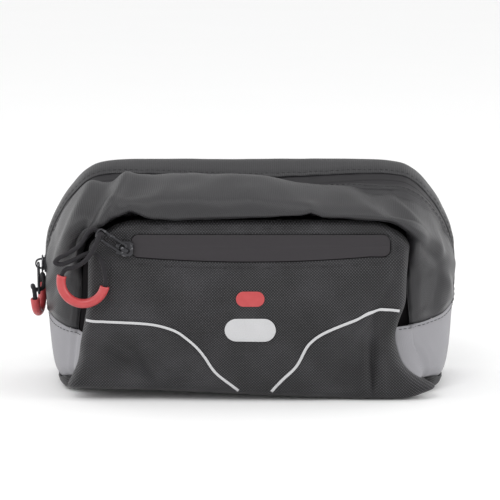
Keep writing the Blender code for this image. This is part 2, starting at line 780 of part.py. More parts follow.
def smooth_path(points, step):
    """Even points along a smooth curve through the given ones."""
    fine = []
    for p in span(0, len(points) - 1, 16 * len(points)):
        fine.append(Vector([through([point[k] for point in points], p) for k in range(3)]))
    along = [0.0]
    for first, second in zip(fine, fine[1:]):
        along.append(along[-1] + (second - first).length)
    count = max(round(along[-1] / step), 2)
    result = []
    for wanted in span(0, along[-1], count + 1):
        i = 0
        while i < len(along) - 2 and along[i + 1] < wanted:
            i += 1
        part = (wanted - along[i]) / (along[i + 1] - along[i])
        result.append(fine[i].lerp(fine[i + 1], min(part, 1.0)))
    return result


def frame_matrix(origin, along, outward):
    """Matrix with its X along the pull link and its Z away from the bag."""
    z = outward.normalized()
    x = (along - z * along.dot(z)).normalized()
    y = z.cross(x)
    turn = Matrix((x, y, z)).transposed().to_4x4()
    return Matrix.Translation(origin) @ turn


def block(name, size, centre, colour, home, hidden=False, bevel=0.0):
    work = bmesh.new()
    bmesh.ops.create_cube(work, size=1)
    bmesh.ops.scale(work, verts=work.verts, vec=Vector(size))
    bmesh.ops.translate(work, verts=work.verts, vec=Vector(centre))
    item = mesh_object(name, work, colour, home, hidden)
    if bevel:
        edge = item.modifiers.new("Edge", "BEVEL")
        edge.width = bevel
        edge.segments = 2
        edge.limit_method = "ANGLE"
    return item


def make_slider(name, place, run, home, cutters):
    """Zip slider with a lug for the pull link. place is the lug's frame on the cloth, run the
    angle from the link to the zip's line."""
    body = block(name, (SLIDER_LENGTH, SLIDER_WIDTH, SLIDER_THICKNESS), (0, 0, SLIDER_THICKNESS / 2),
                 "dark_metal", home, bevel=0.8 * MM)
    body.matrix_world = place @ Matrix.Rotation(math.radians(run), 4, "Z")
    tall = LUG_HEIGHT + SLIDER_THICKNESS - 0.6 * MM
    lug = block(name + "_lug", (LUG_LENGTH, LUG_WIDTH, tall), (0, 0, 0.6 * MM + tall / 2), None, cutters,
                hidden=True)
    lug.matrix_world = place
    work = bmesh.new()
    hole = LINK_WIRE / 2 + GAP
    bmesh.ops.create_cone(
        work, cap_ends=True, segments=16, radius1=hole, radius2=hole, depth=SLIDER_WIDTH * 2
    )
    drill = mesh_object(name + "_hole", work, None, cutters, hidden=True)
    eye = Matrix.Translation((0, 0, EYE_HEIGHT))
    drill.matrix_world = place @ eye @ Matrix.Rotation(math.pi / 2, 4, "X")
    boolean(body, lug, "UNION")
    boolean(body, drill, "DIFFERENCE")
    return body


def link_points(place, rise):
    """Closed wire loop from the lug's eye, LINK_LENGTH long, lifting by rise at its far end."""
    half = LINK_WIDTH / 2 - LINK_WIRE / 2
    corner = 1.4 * MM
    reach = LINK_LENGTH - LINK_WIRE
    flat = []
    far = reach - corner
    for cx, side, start in ((corner, 1, 90), (corner, -1, 180), (far, -1, 270), (far, 1, 0)):
        cy = side * (half - corner)
        for angle in span(start, start + 90, 3):
            turn = math.radians(angle)
            flat.append((cx + corner * math.cos(turn), cy + corner * math.sin(turn)))
    return [place @ Vector((x, y, EYE_HEIGHT + rise * x / reach)) for x, y in flat]


def make_grip(name, place, home):
    """Hollow rubber grip, an open U of round tube. place is the frame of its middle, with the
    U in its XY plane and its opening towards +Y."""
    turns = span(math.radians(GRIP_START), math.radians(GRIP_END), 13)
    points = [place @ Vector((GRIP_RADIUS * math.cos(t), GRIP_RADIUS * math.sin(t), 0)) for t in turns]
    grip = tube(name, points, GRIP_DIAMETER, "red_rubber", home, caps=False)
    wall = grip.modifiers.new("Wall", "SOLIDIFY")
    wall.thickness = (GRIP_DIAMETER - GRIP_BORE) / 2
    wall.offset = -1
    return grip


def grip_path(place, start, end):
    turns = span(math.radians(start), math.radians(end), 9)
    return [place @ Vector((GRIP_RADIUS * math.cos(t), GRIP_RADIUS * math.sin(t), 0)) for t in turns]


def grip_lead(place, angle, way):
    """Point a little way out of an end of the grip, in line with its bore."""
    turn = math.radians(angle)
    tip = Vector((math.cos(turn), math.sin(turn), 0)) * GRIP_RADIUS
    out = Vector((-math.sin(turn), math.cos(turn), 0)) * way
    return place @ (tip + out * CORD_DIAMETER)


def make_strap(name, x, home):
    """Strap with its tab on the back panel, closed round the space of a handlebar."""
    leg = BACK_Y + GAP
    bore = BAR_DIAMETER / 2 + BAR_CLEARANCE
    middle = leg + STRAP_THICKNESS + bore
    inner = [(leg + STRAP_THICKNESS, z) for z in (STRAP_TAB_BOTTOM, 60 * MM, 70 * MM, 78 * MM)]
    inner += [
        (middle - bore * math.cos(t), BAR_Z + bore * math.sin(t)) for t in
        [math.radians(angle) for angle in span(0, 250, 22)]
    ]
    tail = leg + 2 * STRAP_THICKNESS + GAP
    last = inner[-1]
    corner = (last[0] - 5.5 * MM, last[1] - 2.2 * MM)
    finish = (tail, STRAP_TAB_BOTTOM + 4 * MM)
    bend = (tail, finish[1] + 8 * MM)
    for t in span(0.2, 1.0, 6):
        k = 1 - t
        inner.append(tuple(
            k ** 3 * last[i] + 3 * k * k * t * corner[i] + 3 * k * t * t * bend[i] + t ** 3 * finish[i]
            for i in range(2)
        ))
    sides = span(-STRAP_WIDTH / 2, STRAP_WIDTH / 2, 3)
    rows = [[Vector((x + side, y, z)) for side in sides] for y, z in inner]
    return build_grid(name, rows, "black_webbing", home,
                      lambda p: Vector((0, middle - p.y, BAR_Z - p.z)), STRAP_THICKNESS)


# Pulls: where each slider sits, which way its link points, the middle of its grip, and the
# route of its cord in millimetres: from one end of the grip to the link, round the link's end
# from one angle to the other, and back to the grip

POCKET_PULL = {
    "slider": (-66.0, 82.5),
    "link_angle": 146,
    "link_rise": 0.6,
    "grip": (-87.9, -46.2, 65.5),
    "before": [(-96.6, -46.4, 72.4), (-92.6, -46.9, 73.4), (-87.5, -47.9, 76.3), (-83.0, -48.8, 81.5),
               (-80.4, -49.0, 86.8)],
    "round_link": (125, 180, 225, 270),
    "after": [(-82.6, -43.9, 93.2), (-85.8, -45.3, 90.6), (-89.6, -46.0, 84.9), (-95.7, -46.2, 80.6),
              (-100.9, -46.2, 78.0), (-102.4, -46.2, 75.6), (-98.7, -46.2, 75.0), (-91.0, -45.9, 78.0),
              (-86.0, -45.2, 80.3), (-81.5, -44.9, 80.2), (-78.4, -45.4, 77.0), (-76.6, -46.0, 70.5)],
}
MAIN_PULL = {
    "arch": -0.675,
    "section": 4.5,
    "link_rise": -0.6,
    "grip": (-116.8, 10.0, 50.0),
    "grip_turn": 5,
    "before": [(-115.4, 18.9, 57.6), (-114.3, 15.2, 54.6)],
    "round_link": (225, 180, 135),
    "after": [(-119.7, 9.0, 51.6), (-119.6, 4.2, 53.8), (-118.6, -0.6, 53.8)],
}


def in_metres(point):
    return Vector(point) * MM


def body_normal(arch, section):
    step = 0.01
    along = body_point(arch + step, section) - body_point(arch - step, section)
    across = body_point(arch, section + step) - body_point(arch, section - step)
    return across.cross(along).normalized()


def make_pull(name, table, place, run, grip_place, home, cutters):
    """Slider, wire link, cord and grip of one zip pull."""
    rise = table["link_rise"] * MM
    make_slider(name + "_slider", place, run, home, cutters)
    tube(name + "_pull_link", link_points(place, rise), LINK_WIRE, "dark_metal", home, closed=True)
    points = grip_path(grip_place, CORD_START, GRIP_START) + [grip_lead(grip_place, GRIP_START, -1)]
    points += [in_metres(point) for point in table["before"]]
    points += hitch_points(place, table["round_link"], rise)
    points += [in_metres(point) for point in table["after"]]
    points += [grip_lead(grip_place, GRIP_END, 1)] + grip_path(grip_place, GRIP_END, CORD_END)
    tube(name + "_pull_cord", smooth_path(points, 1.3 * CORD_DIAMETER), CORD_DIAMETER, "cord", home)
    make_grip(name + "_pull_grip", grip_place, home)


def hitch_points(place, angles, rise):
    """Points of the cord round the bar at the link's end."""
    reach = LINK_LENGTH - LINK_WIRE
    bend = (LINK_WIRE + CORD_DIAMETER) / 2 + 2 * GAP
    turns = [math.radians(angle) for angle in angles]
    height = EYE_HEIGHT + rise
    return [place @ Vector((reach + bend * math.cos(t), 0, height + bend * math.sin(t))) for t in turns]


def axes(origin, x, y):
    turn = Matrix((x, y, x.cross(y))).transposed().to_4x4()
    return Matrix.Translation(origin) @ turn


def make_pocket_pull(home, cutters):
    x, z = (value * MM for value in POCKET_PULL["slider"])
    normal = panel_normal(x, z)
    foot = panel_point(x, z) + normal * TRIM_GAP
    angle = math.radians(POCKET_PULL["link_angle"])
    place = frame_matrix(foot, Vector((math.cos(angle), 0, math.sin(angle))), normal)
    grip_place = axes(in_metres(POCKET_PULL["grip"]), Vector((1, 0, 0)), Vector((0, 0, 1)))
    make_pull("pocket", POCKET_PULL, place, 180 - POCKET_PULL["link_angle"], grip_place, home, cutters)


def make_main_pull(home, cutters):
    arch, section = MAIN_PULL["arch"], MAIN_PULL["section"]
    normal = body_normal(arch, section)
    foot = body_point(arch, section) + normal * GAP
    along = body_point(arch - 0.01, section) - body_point(arch + 0.01, section)
    place = frame_matrix(foot, along, normal)
    turn = math.radians(MAIN_PULL["grip_turn"])
    grip_place = axes(in_metres(MAIN_PULL["grip"]), Vector((-math.sin(turn), -math.cos(turn), 0)),
                      Vector((0, 0, 1)))
    make_pull("main", MAIN_PULL, place, 0, grip_place, home, cutters)


def main():
    clear_scene()
    parts = collection("Handlebar bag")
    cutters = collection("Cutters")
    half_gap = 0.015
    make_base(parts)
    flat_panel("back_panel", 0, GAP, BACK_Y, 1, "coated_fabric", parts)
    rear, front = SECTION_INDEX["zip_rear"], SECTION_INDEX["zip_front"]
    make_strip("rear_gusset", 0, rear - half_gap, [0.8, 1.4, 2.0, 2.5, 3.2], "coated_fabric", parts)
    make_strip("main_zip", rear + half_gap, front - half_gap, [rear + 0.5], "zip_film", parts)
    panel_rows = span(front + 0.5, SEAM - 0.4, 9)
    make_strip("front_shell", front + half_gap, SEAM, panel_rows, "coated_fabric", parts)
    make_patch("corner_patch_left", -1, parts)
    make_patch("corner_patch_right", 1, parts)
    divider_y = BACK_Y - BODY_DEPTH
    flat_panel("pocket_divider", SEAM, CLOTH + 2 * GAP, divider_y, -1, "coated_fabric", parts)
    make_pocket_gusset(parts)
    make_pocket_panel(parts, cutters)
    make_pocket_zip(parts)
    make_stripe("reflective_stripe_left", LEFT_STRIPE, parts)
    make_stripe("reflective_stripe_right", RIGHT_STRIPE, parts)
    make_bar("reflective_bar", MARK_Z, MARK_WIDTH, MARK_HEIGHT, "reflective", parts)
    make_bar("accent_bar", MARK_Z + MARK_SPACING, ACCENT_WIDTH, ACCENT_HEIGHT, "red_rubber", parts)
    make_strap("strap_left", -STRAP_SPACING / 2, parts)
    make_strap("strap_right", STRAP_SPACING / 2, parts)
    make_pocket_pull(parts, cutters)
    make_main_pull(parts, cutters)


main()
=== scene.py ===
"""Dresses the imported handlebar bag: cloth with its folds and weave, zips, trim, straps, cord
pulls and stitching, on a pale floor under soft studio light."""
import math

import bmesh
import bpy
import numpy as np
from mathutils import Matrix, Vector


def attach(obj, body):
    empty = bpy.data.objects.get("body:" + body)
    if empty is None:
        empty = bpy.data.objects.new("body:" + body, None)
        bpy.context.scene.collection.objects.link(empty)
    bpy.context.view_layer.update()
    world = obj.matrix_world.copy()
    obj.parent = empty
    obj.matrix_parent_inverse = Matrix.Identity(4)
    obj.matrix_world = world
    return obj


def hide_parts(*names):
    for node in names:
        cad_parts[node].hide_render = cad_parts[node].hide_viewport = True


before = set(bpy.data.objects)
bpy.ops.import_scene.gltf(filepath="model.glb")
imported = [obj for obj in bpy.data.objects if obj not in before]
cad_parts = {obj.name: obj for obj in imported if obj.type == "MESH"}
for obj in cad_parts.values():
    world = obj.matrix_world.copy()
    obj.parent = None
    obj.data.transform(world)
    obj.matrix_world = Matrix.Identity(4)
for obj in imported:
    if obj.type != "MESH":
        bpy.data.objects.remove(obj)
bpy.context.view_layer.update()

MM = 0.001
rng = np.random.default_rng(7)

# Sizes shared with the solids
BODY_WIDTH, BODY_HEIGHT, BODY_DEPTH = 225 * MM, 120 * MM, 65 * MM
POCKET_WIDTH, POCKET_HEIGHT, POCKET_DEPTH = 174 * MM, 98 * MM, 17 * MM
BACK_Y = 41 * MM
CLOTH, GAP = 1.5 * MM, 0.3 * MM
LEFT_PATCH, RIGHT_PATCH = 0.790, 0.768
ZIP_SAG, SAG_SPREAD, FOOT_LIFT = 5.5 * MM, 62 * MM, 5.5 * MM
EDGE_RADIUS, BELLY = 6 * MM, 3.5 * MM
RIM_Y = BACK_Y - BODY_DEPTH - POCKET_DEPTH + EDGE_RADIUS
SLOT = {"left": -63 * MM, "right": 74 * MM, "bottom": 76.5 * MM, "top": 90 * MM, "radius": 4 * MM}
ZIP_RECESS = 0.4 * MM
STRIPE_WIDTH, TRIM_THICKNESS, TRIM_GAP = 1.9 * MM, 0.6 * MM, 0.45 * MM
STRAP_WIDTH, STRAP_THICKNESS, STRAP_SPACING = 25 * MM, 1.6 * MM, 100 * MM
BAR_BORE, BAR_Z, STRAP_TAB_BOTTOM = 17.0 * MM, 86 * MM, 52 * MM
CORD_DIAMETER, GRIP_DIAMETER, GRIP_BORE, GRIP_RADIUS = 2.4 * MM, 4.9 * MM, 3.3 * MM, 11.6 * MM
LINK_LENGTH, LINK_WIDTH, LINK_WIRE, EYE_HEIGHT = 18 * MM, 6.2 * MM, 1.5 * MM, 4.4 * MM

# Outline from the front: height, half-width at the back, half-width at the front
OUTLINE = np.array([
    (0.000, 0.880, 0.962), (0.008, 0.908, 1.000), (0.030, 0.930, 1.020), (0.080, 0.952, 1.032),
    (0.140, 0.970, 1.038), (0.260, 0.990, 1.030), (0.400, 1.000, 1.015), (0.550, 1.002, 1.000),
    (0.680, 0.990, 0.995), (0.800, 0.935, 0.975), (0.890, 0.870, 0.925), (0.955, 0.800, 0.830),
    (0.988, 0.715, 0.700), (1.000, 0.520, 0.470), (1.000, 0.000, 0.000),
])
# Sections from back to front: depth at the side, depth at the top, width, height
SECTIONS = np.array([
    (0.000, 0.000, 0.925, 0.915), (0.004, 0.004, 0.948, 0.942), (0.050, 0.055, 0.985, 0.980),
    (0.200, 0.200, 1.000, 1.000), (0.370, 0.400, 1.000, 0.972), (0.520, 0.580, 0.990, 0.935),
    (0.680, 0.800, 0.965, 0.928), (0.820, 1.030, 0.928, 0.897), (0.920, 1.210, 0.885, 0.862),
    (0.975, 1.270, 0.850, 0.834), (0.992, 1.150, 0.825, 0.825), (1.000, 1.000, 0.808, 0.820),
])
ZIP_REAR, ZIP_FRONT, LIP, TUCK, SEAM = 4, 5, 9, 10, 11
# Outline of the pocket: height, left half-width, right half-width
POCKET_OUTLINE = np.array([
    (0.000, 1.085, 1.100), (0.008, 1.115, 1.130), (0.030, 1.120, 1.130), (0.080, 1.095, 1.065),
    (0.140, 1.068, 0.990), (0.200, 1.052, 0.935), (0.280, 1.042, 0.900), (0.350, 1.030, 0.888),
    (0.430, 1.015, 0.910), (0.540, 0.995, 0.950), (0.680, 0.990, 0.956), (0.780, 0.985, 0.966),
    (0.850, 0.975, 0.968), (0.910, 0.915, 0.925), (0.960, 0.822, 0.830),
])
TURN_UP = np.array([0.048, 0.048, 0.048, 0.048, 0.048, 0.048, 0.048, 0.048, 0.049, 0.050, 0.052,
                    0.056, 0.075])
# Folds: place x and z, angle, length, width, rise
BODY_FOLDS = [
    (-0.20, 0.93, 0, 0.26, 0.10, 0.060), (0.02, 0.92, -4, 0.20, 0.08, 0.050),
    (0.34, 0.88, -38, 0.13, 0.05, -0.055), (0.34, 0.89, -30, 0.15, 0.07, -0.050),
    (0.345, 0.78, -40, 0.16, 0.035, 0.045), (-0.375, 0.80, 62, 0.13, 0.025, -0.035),
    (-0.345, 0.78, 60, 0.14, 0.025, 0.040), (-0.41, 0.72, 66, 0.14, 0.022, 0.030),
    (0.43, 0.46, 88, 0.16, 0.022, -0.025),
]
POCKET_FOLDS = [
    (-0.34, 0.17, -60, 0.10, 0.04, -0.10), (-0.28, 0.22, -35, 0.14, 0.04, 0.07),
    (0.40, 0.34, 55, 0.26, 0.04, -0.13), (0.33, 0.40, 58, 0.24, 0.05, 0.07),
    (0.30, 0.10, 80, 0.12, 0.05, -0.08), (0.03, 0.83, 0, 0.50, 0.07, -0.06),
]
LEFT_STRIPE = [
    (-0.497, 0.443), (-0.457, 0.440), (-0.393, 0.437), (-0.330, 0.432), (-0.287, 0.423),
    (-0.250, 0.405), (-0.220, 0.381), (-0.190, 0.338), (-0.162, 0.288), (-0.139, 0.231),
    (-0.103, 0.131), (-0.036, 0.037),
]
RIGHT_STRIPE = [
    (0.452, 0.500), (0.420, 0.508), (0.390, 0.508), (0.363, 0.494), (0.328, 0.460),
    (0.251, 0.403), (0.214, 0.370), (0.189, 0.336), (0.170, 0.294), (0.140, 0.188),
    (0.096, 0.106), (0.065, 0.040),
]
MARK_Z, MARK_WIDTH, MARK_HEIGHT = 39 * MM, 27 * MM, 13 * MM
ACCENT_WIDTH, ACCENT_HEIGHT, MARK_SPACING = 15 * MM, 8 * MM, 17 * MM

# Smaller folds that only the cloth of the scene has, with rises in millimetres
BODY_DETAIL = [
    (-0.30, 0.86, 12, 0.10, 0.020, 0.8), (-0.10, 0.84, -8, 0.12, 0.022, -0.7),
    (0.06, 0.80, 6, 0.09, 0.018, 0.7), (0.16, 0.86, -18, 0.14, 0.022, 0.7),
    (0.24, 0.80, -28, 0.10, 0.018, -0.9), (-0.44, 0.55, 80, 0.10, 0.016, 1.0),
    (-0.42, 0.40, 70, 0.09, 0.018, -0.9), (-0.375, 0.80, 60, 0.12, 0.012, -2.4),
    (-0.348, 0.80, 60, 0.12, 0.010, 2.2), (-0.425, 0.74, 66, 0.13, 0.010, 2.2),
    (-0.405, 0.72, 66, 0.13, 0.010, -2.0), (-0.29, 0.80, 30, 0.07, 0.012, -1.0),
    (0.36, 0.83, -42, 0.10, 0.012, 2.0), (0.345, 0.79, -40, 0.09, 0.010, -2.0),
    (0.41, 0.73, -48, 0.08, 0.010, 2.0), (0.43, 0.66, -60, 0.09, 0.012, -2.2),
    (0.455, 0.60, -75, 0.10, 0.011, 2.0), (0.44, 0.42, 80, 0.12, 0.012, -1.2),
    (0.462, 0.38, 84, 0.12, 0.012, 1.2), (0.42, 0.52, 60, 0.05, 0.012, 0.9),
    (-0.16, 0.90, 22, 0.12, 0.024, 1.0), (-0.02, 0.88, -16, 0.10, 0.020, -0.8),
    (0.19, 0.96, -8, 0.12, 0.050, -2.8), (0.29, 0.86, -24, 0.10, 0.016, 1.1),
    (0.31, 0.92, -34, 0.12, 0.014, -1.2), (-0.24, 0.84, 48, 0.08, 0.016, 0.9),
]
POCKET_DETAIL = [
    (-0.385, 0.26, -38, 0.07, 0.014, 1.4), (-0.40, 0.20, -42, 0.07, 0.014, -1.6),
    (-0.32, 0.13, -65, 0.06, 0.014, -1.8), (-0.285, 0.12, -62, 0.06, 0.014, 1.3),
    (0.377, 0.16, 90, 0.12, 0.008, -2.4), (0.352, 0.17, 90, 0.11, 0.012, 1.4),
    (0.405, 0.17, 90, 0.11, 0.014, 1.4), (0.42, 0.62, 62, 0.16, 0.014, -1.3),
    (0.39, 0.60, 62, 0.16, 0.016, 1.0), (0.36, 0.52, 58, 0.14, 0.014, -0.8),
    (-0.44, 0.62, 84, 0.16, 0.012, -0.8), (0.10, 0.12, 8, 0.16, 0.025, 0.6),
    (-0.05, 0.55, -5, 0.20, 0.05, 0.4), (0.30, 0.28, 40, 0.10, 0.018, 0.8),
    (0.25, 0.10, 60, 0.08, 0.016, -0.9),
]
# The overhanging lip: place x and rise, in millimetres
LIP_WAVE = np.array([
    (-120, 0), (-84, 0.5), (-75, 1.7), (-69, 2.8), (-63.3, 4.4), (-59, 2.8), (-50, 0), (-40, -1.3),
    (-24, -0.8), (-5, -0.4), (6, -0.2), (20, 0.2), (27, 0.9), (32, 2.3), (38, 0.2), (44, -0.4), (59, -0.1),
    (73, 0.4), (83, 0.2), (95, 0), (120, 0),
])
# How far the cloth at the right hangs over the pocket's side, inwards and forwards
LOBE_IN, LOBE_FORWARD = 6.5 * MM, 3.5 * MM
ZIP_DROOP, DROOP_REACH = 1.3 * MM, 6 * MM
FILM_DEPTH = 0.9 * MM
# In sections: how far each hem keeps off the zip's line, and how far the film runs past it
HEM_GAP, FILM_UNDER = 0.015, 0.12
# Thickness of the cloths
FRONT_SHEET, BODY_SHEET, POCKET_SHEET = 0.8 * MM, 1.3 * MM, 1.2 * MM
BAND_SHEET, SLOT_SHEET = 0.9 * MM, 0.8 * MM
# The sections end just before the pocket's rim
RIM_SECTION = 11.94
FORWARDS, BACKWARDS = np.array([0.0, -1, 0]), np.array([0.0, 1, 0])
# Strength of the surroundings in front and, added to it, at the sides
FRONT_LIGHT, SIDE_LIGHT = 0.55, 1.9


# Camera and floor

def look_from_photo():
    """Camera at the photograph's place: low, straight in front and far away."""
    target, distance, tilt = Vector((0, 0, 74.4 * MM)), 1.2, math.radians(10)
    lens = bpy.data.cameras.new("Camera")
    lens.lens = 158.2
    lens.sensor_width = 36
    lens.shift_x = -0.2 / 500
    lens.dof.use_dof = False
    camera = bpy.data.objects.new("Camera", lens)
    bpy.context.scene.collection.objects.link(camera)
    camera.location = target + Vector((0, -math.cos(tilt), math.sin(tilt))) * distance
    camera.rotation_euler = (math.pi / 2 - tilt, 0, 0)
    bpy.context.scene.camera = camera


look_from_photo()
bpy.context.scene.view_settings.view_transform = "Standard"


# Curves through tables

def catmull(a, b, c, d, t):
    return 0.5 * (
        2 * b + (c - a) * t + (2 * a - 5 * b + 4 * c - d) * t * t + (3 * b - a - 3 * c + d) * t ** 3
    )


def through(values, position):
    values = np.asarray(values, float)
    last = len(values) - 1
    position = np.clip(position, 0, last)
    i = np.minimum(position.astype(int), last - 1)
    ends = [2 * values[0] - values[1]], [2 * values[-1] - values[-2]]
    wide = np.concatenate([ends[0], values, ends[1]])
    return catmull(wide[i], wide[i + 1], wide[i + 2], wide[i + 3], position - i)


def smooth(low, high, value):
    t = np.clip((value - low) / (high - low), 0, 1)
    return t * t * (3 - 2 * t)


def unit(vectors):
    return vectors / np.maximum(np.linalg.norm(vectors, axis=-1, keepdims=True), 1e-12)


def point(x, y, z):
    return np.stack(np.broadcast_arrays(x, y, z), axis=-1).astype(float)


def hump(distance, middle, width):
    return np.exp(-(((distance - middle) / width) ** 2))


def lengths_along(line):
    """Distance of each point of a line from its first one, along the line."""
    return np.concatenate([[0], np.cumsum(np.linalg.norm(np.diff(line, axis=0), axis=1))])


def read_along(values, along, places):
    """Values given along a line, read at other places of it."""
    return np.stack([np.interp(places, along, column) for column in values.T], 1)


def arch_table(steps=400):
    rows = (len(OUTLINE) - 1) * (1 - np.arange(steps + 1) / steps)
    dots = np.stack([through(OUTLINE[:, 1], rows), through(OUTLINE[:, 0], rows)], axis=1)
    along = lengths_along(dots)
    return along / along[-1], rows


ARCH_SHARES, ARCH_ROWS = arch_table()
ARCH_LENGTH = sum(
    math.dist((a[1] * BODY_WIDTH / 2, a[0] * BODY_HEIGHT), (b[1] * BODY_WIDTH / 2, b[0] * BODY_HEIGHT))
    for a, b in zip(OUTLINE, OUTLINE[1:])
)


def arch_row(share):
    return np.interp(np.clip(share, 0, 1), ARCH_SHARES, ARCH_ROWS)


def reading(wanted, known, value):
    """One column of a table where another column, which rises, has this value."""
    fine = np.linspace(0, len(known) - 1, 4000)
    return through(wanted, np.interp(value, through(known, fine), fine))


def folds_at(folds, x, z, aspect):
    """Rise of the folds of a table at places given as shares of the width and height."""
    total = 0.0
    for fx, fz, angle, long, wide, rise in folds:
        turn = math.radians(angle)
        dx, dz = x - fx, (z - fz) * aspect
        along = dx * math.cos(turn) + dz * math.sin(turn)
        across = dz * math.cos(turn) - dx * math.sin(turn)
        total = total + rise * np.exp(-((along / long) ** 2) - (across / wide) ** 2)
    return total


def folds_on_body(folds, points):
    x, z = points[..., 0] / BODY_WIDTH, points[..., 2] / BODY_HEIGHT
    return folds_at(folds, x, z, BODY_HEIGHT / BODY_WIDTH)


# The body's surface: arch is -1 at the left foot, 0 at the top and 1 at the right foot

def body_plain(arch, section):
    arch, section = np.broadcast_arrays(np.asarray(arch, float), np.asarray(section, float))
    row = arch_row(np.abs(arch))
    height, back, front = (through(OUTLINE[:, k], row) for k in range(3))
    width = back + (front - back) * smooth(ZIP_REAR, LIP, section)
    top_part = smooth(0.62, 0.97, height)
    side, top, draw_x, draw_z = (through(SECTIONS[:, k], section) for k in range(4))
    depth = side + (top - side) * top_part
    half = BODY_WIDTH / 2 * width * draw_x
    middle = (ZIP_REAR + ZIP_FRONT) / 2
    sag = np.exp(-((half / SAG_SPREAD) ** 2) - (section - middle) ** 2) * top_part
    z = BODY_HEIGHT * height * draw_z - ZIP_SAG * sag
    return point(np.copysign(half, arch), BACK_Y - BODY_DEPTH * depth, z)


def body_point(arch, section):
    arch, section = np.broadcast_arrays(np.asarray(arch, float), np.asarray(section, float))
    plain = body_plain(arch, section)
    step = 0.01
    after, before = np.minimum(arch + step, 1), np.maximum(arch - step, -1)
    along = body_plain(after, section) - body_plain(before, section)
    across = body_plain(arch, section + step) - body_plain(arch, section - step)
    outward = unit(np.cross(across, along))
    fade = smooth(ZIP_FRONT, ZIP_FRONT + 0.6, section) * (1 - smooth(TUCK - 2.2, TUCK - 0.8, section))
    rise = folds_on_body(BODY_FOLDS, plain)
    return plain + outward * (rise * BODY_DEPTH * fade)[..., None]


def lifted(points):
    """The points after the front left foot and the front right corner have lifted."""
    x, y, z = points[..., 0], points[..., 1], points[..., 2]
    sideways = 1 - smooth(-0.42 * BODY_WIDTH, 0.36 * BODY_WIDTH, x)
    sideways = sideways + smooth(0.36 * BODY_WIDTH, 0.46 * BODY_WIDTH, x)
    forward = 1 - smooth(RIM_Y, BACK_Y - 0.72 * BODY_DEPTH, y)
    low = 1 - smooth(0, 0.4 * BODY_HEIGHT, z)
    return points + point(0 * x, 0 * x, FOOT_LIFT * sideways * forward * low)


RIM_CORNER, RIM_TOP = POCKET_OUTLINE[-1, 0], 0.988
CORNER_WIDTH = reading(OUTLINE[:-2, 2], OUTLINE[:-2, 0], np.array([RIM_CORNER]))[0]


def rim_share(height, width, left):
    known = POCKET_OUTLINE[:, 0]
    at_left, at_right = (reading(POCKET_OUTLINE[:, k], known, height) for k in (1, 2))
    low = np.where(left, at_left, at_right)
    top = np.where(left, POCKET_OUTLINE[-1, 1], POCKET_OUTLINE[-1, 2]) * width / CORNER_WIDTH
    return np.where(height < RIM_CORNER, low, top)


def rim_point(arch):
    arch = np.asarray(arch, float)
    row = arch_row(np.abs(arch))
    height, width = through(OUTLINE[:, 0], row), through(OUTLINE[:, 2], row)
    half = POCKET_WIDTH / 2 * rim_share(height, width, arch < 0)
    return point(np.copysign(half, arch), RIM_Y, POCKET_HEIGHT * np.minimum(height, RIM_TOP))


def towards_rim(seam, rim, share):
    share = np.broadcast_to(share, seam.shape[:-1])
    blend = smooth(0, 1, share)[..., None]
    made = seam + (rim - seam) * blend
    made[..., 1] = seam[..., 1] + (rim[..., 1] - seam[..., 1]) * share
    return made


def side_point(arch, section):
    arch, section = np.broadcast_arrays(np.asarray(arch, float), np.asarray(section, float))
    body = body_point(arch, np.minimum(section, SEAM))
    beyond = towards_rim(body_plain(arch, SEAM), rim_point(arch), np.clip(section - SEAM, 0, 1))
    return np.where((section > SEAM)[..., None], beyond, body)


def turn_up_arch(side, sections):
    height = BODY_HEIGHT * through(TURN_UP, sections)
    low, high = np.full(len(sections), 0.5), np.ones(len(sections))
    for _ in range(26):
        middle = (low + high) / 2
        above = side_point(side * middle, sections)[..., 2] > height
        low, high = np.where(above, middle, low), np.where(above, high, middle)
    return low


# The pocket's front panel

def panel_half(share, side):
    left = np.broadcast_to(side == "left", np.shape(share))
    width = reading(OUTLINE[:-1, 2], OUTLINE[:-1, 0], share)
    return POCKET_WIDTH / 2 * rim_share(share, width, left)


def panel_reach(x, z):
    """Half-width of the panel on the side of each point."""
    share = z / POCKET_HEIGHT
    return np.where(x < 0, panel_half(share, "left"), panel_half(share, "right"))


def panel_point(x, z, detail=1):
    """Place on the panel, with the cloth's own small folds and droop or, at 0, without them."""
    x, z = np.broadcast_arrays(np.asarray(x, float), np.asarray(z, float))
    share = z / POCKET_HEIGHT
    half = panel_reach(x, z)
    top = POCKET_HEIGHT * RIM_TOP
    side_gap, end_gap = half - np.abs(x), np.minimum(z, top - z)
    round_off = 1.0
    for distance in (side_gap, end_gap):
        part = 1 - np.clip(distance / EDGE_RADIUS, 0, 1)
        round_off = round_off * np.sqrt(np.maximum(1 - part * part, 0))
    u, v = x / half, (z / top - 0.45) / 0.55
    belly = BELLY * np.maximum(1 - u * u, 0) * np.maximum(1 - v * v, 0)
    fade = smooth(0, 2.5 * EDGE_RADIUS, side_gap) * smooth(0, 1.5 * EDGE_RADIUS, end_gap)
    aspect = POCKET_HEIGHT / POCKET_WIDTH
    rise = folds_at(POCKET_FOLDS, x / POCKET_WIDTH, share, aspect) * POCKET_DEPTH
    rise = rise + folds_at(POCKET_DETAIL, x / POCKET_WIDTH, share, aspect) * MM * detail
    droop = 2 * (x / SLOT["left"]) ** 2 - 1
    droop = ZIP_DROOP * np.clip(droop, -1, 1) * hump(z, SLOT["bottom"], DROOP_REACH)
    return point(x, RIM_Y - EDGE_RADIUS * round_off - belly - rise * fade, z + droop * detail)


def panel_normal(x, z, detail=1):
    step = 0.5 * MM
    across = panel_point(x + step, z, detail) - panel_point(x - step, z, detail)
    up = panel_point(x, z + step, detail) - panel_point(x, z - step, detail)
    return unit(np.cross(across, up))


# Ripples: soft waves with fixed random directions

WAVES = [
    (rng.normal(size=3), rng.uniform(0, math.tau), rng.uniform(14, 42) * MM) for _ in range(26)
]


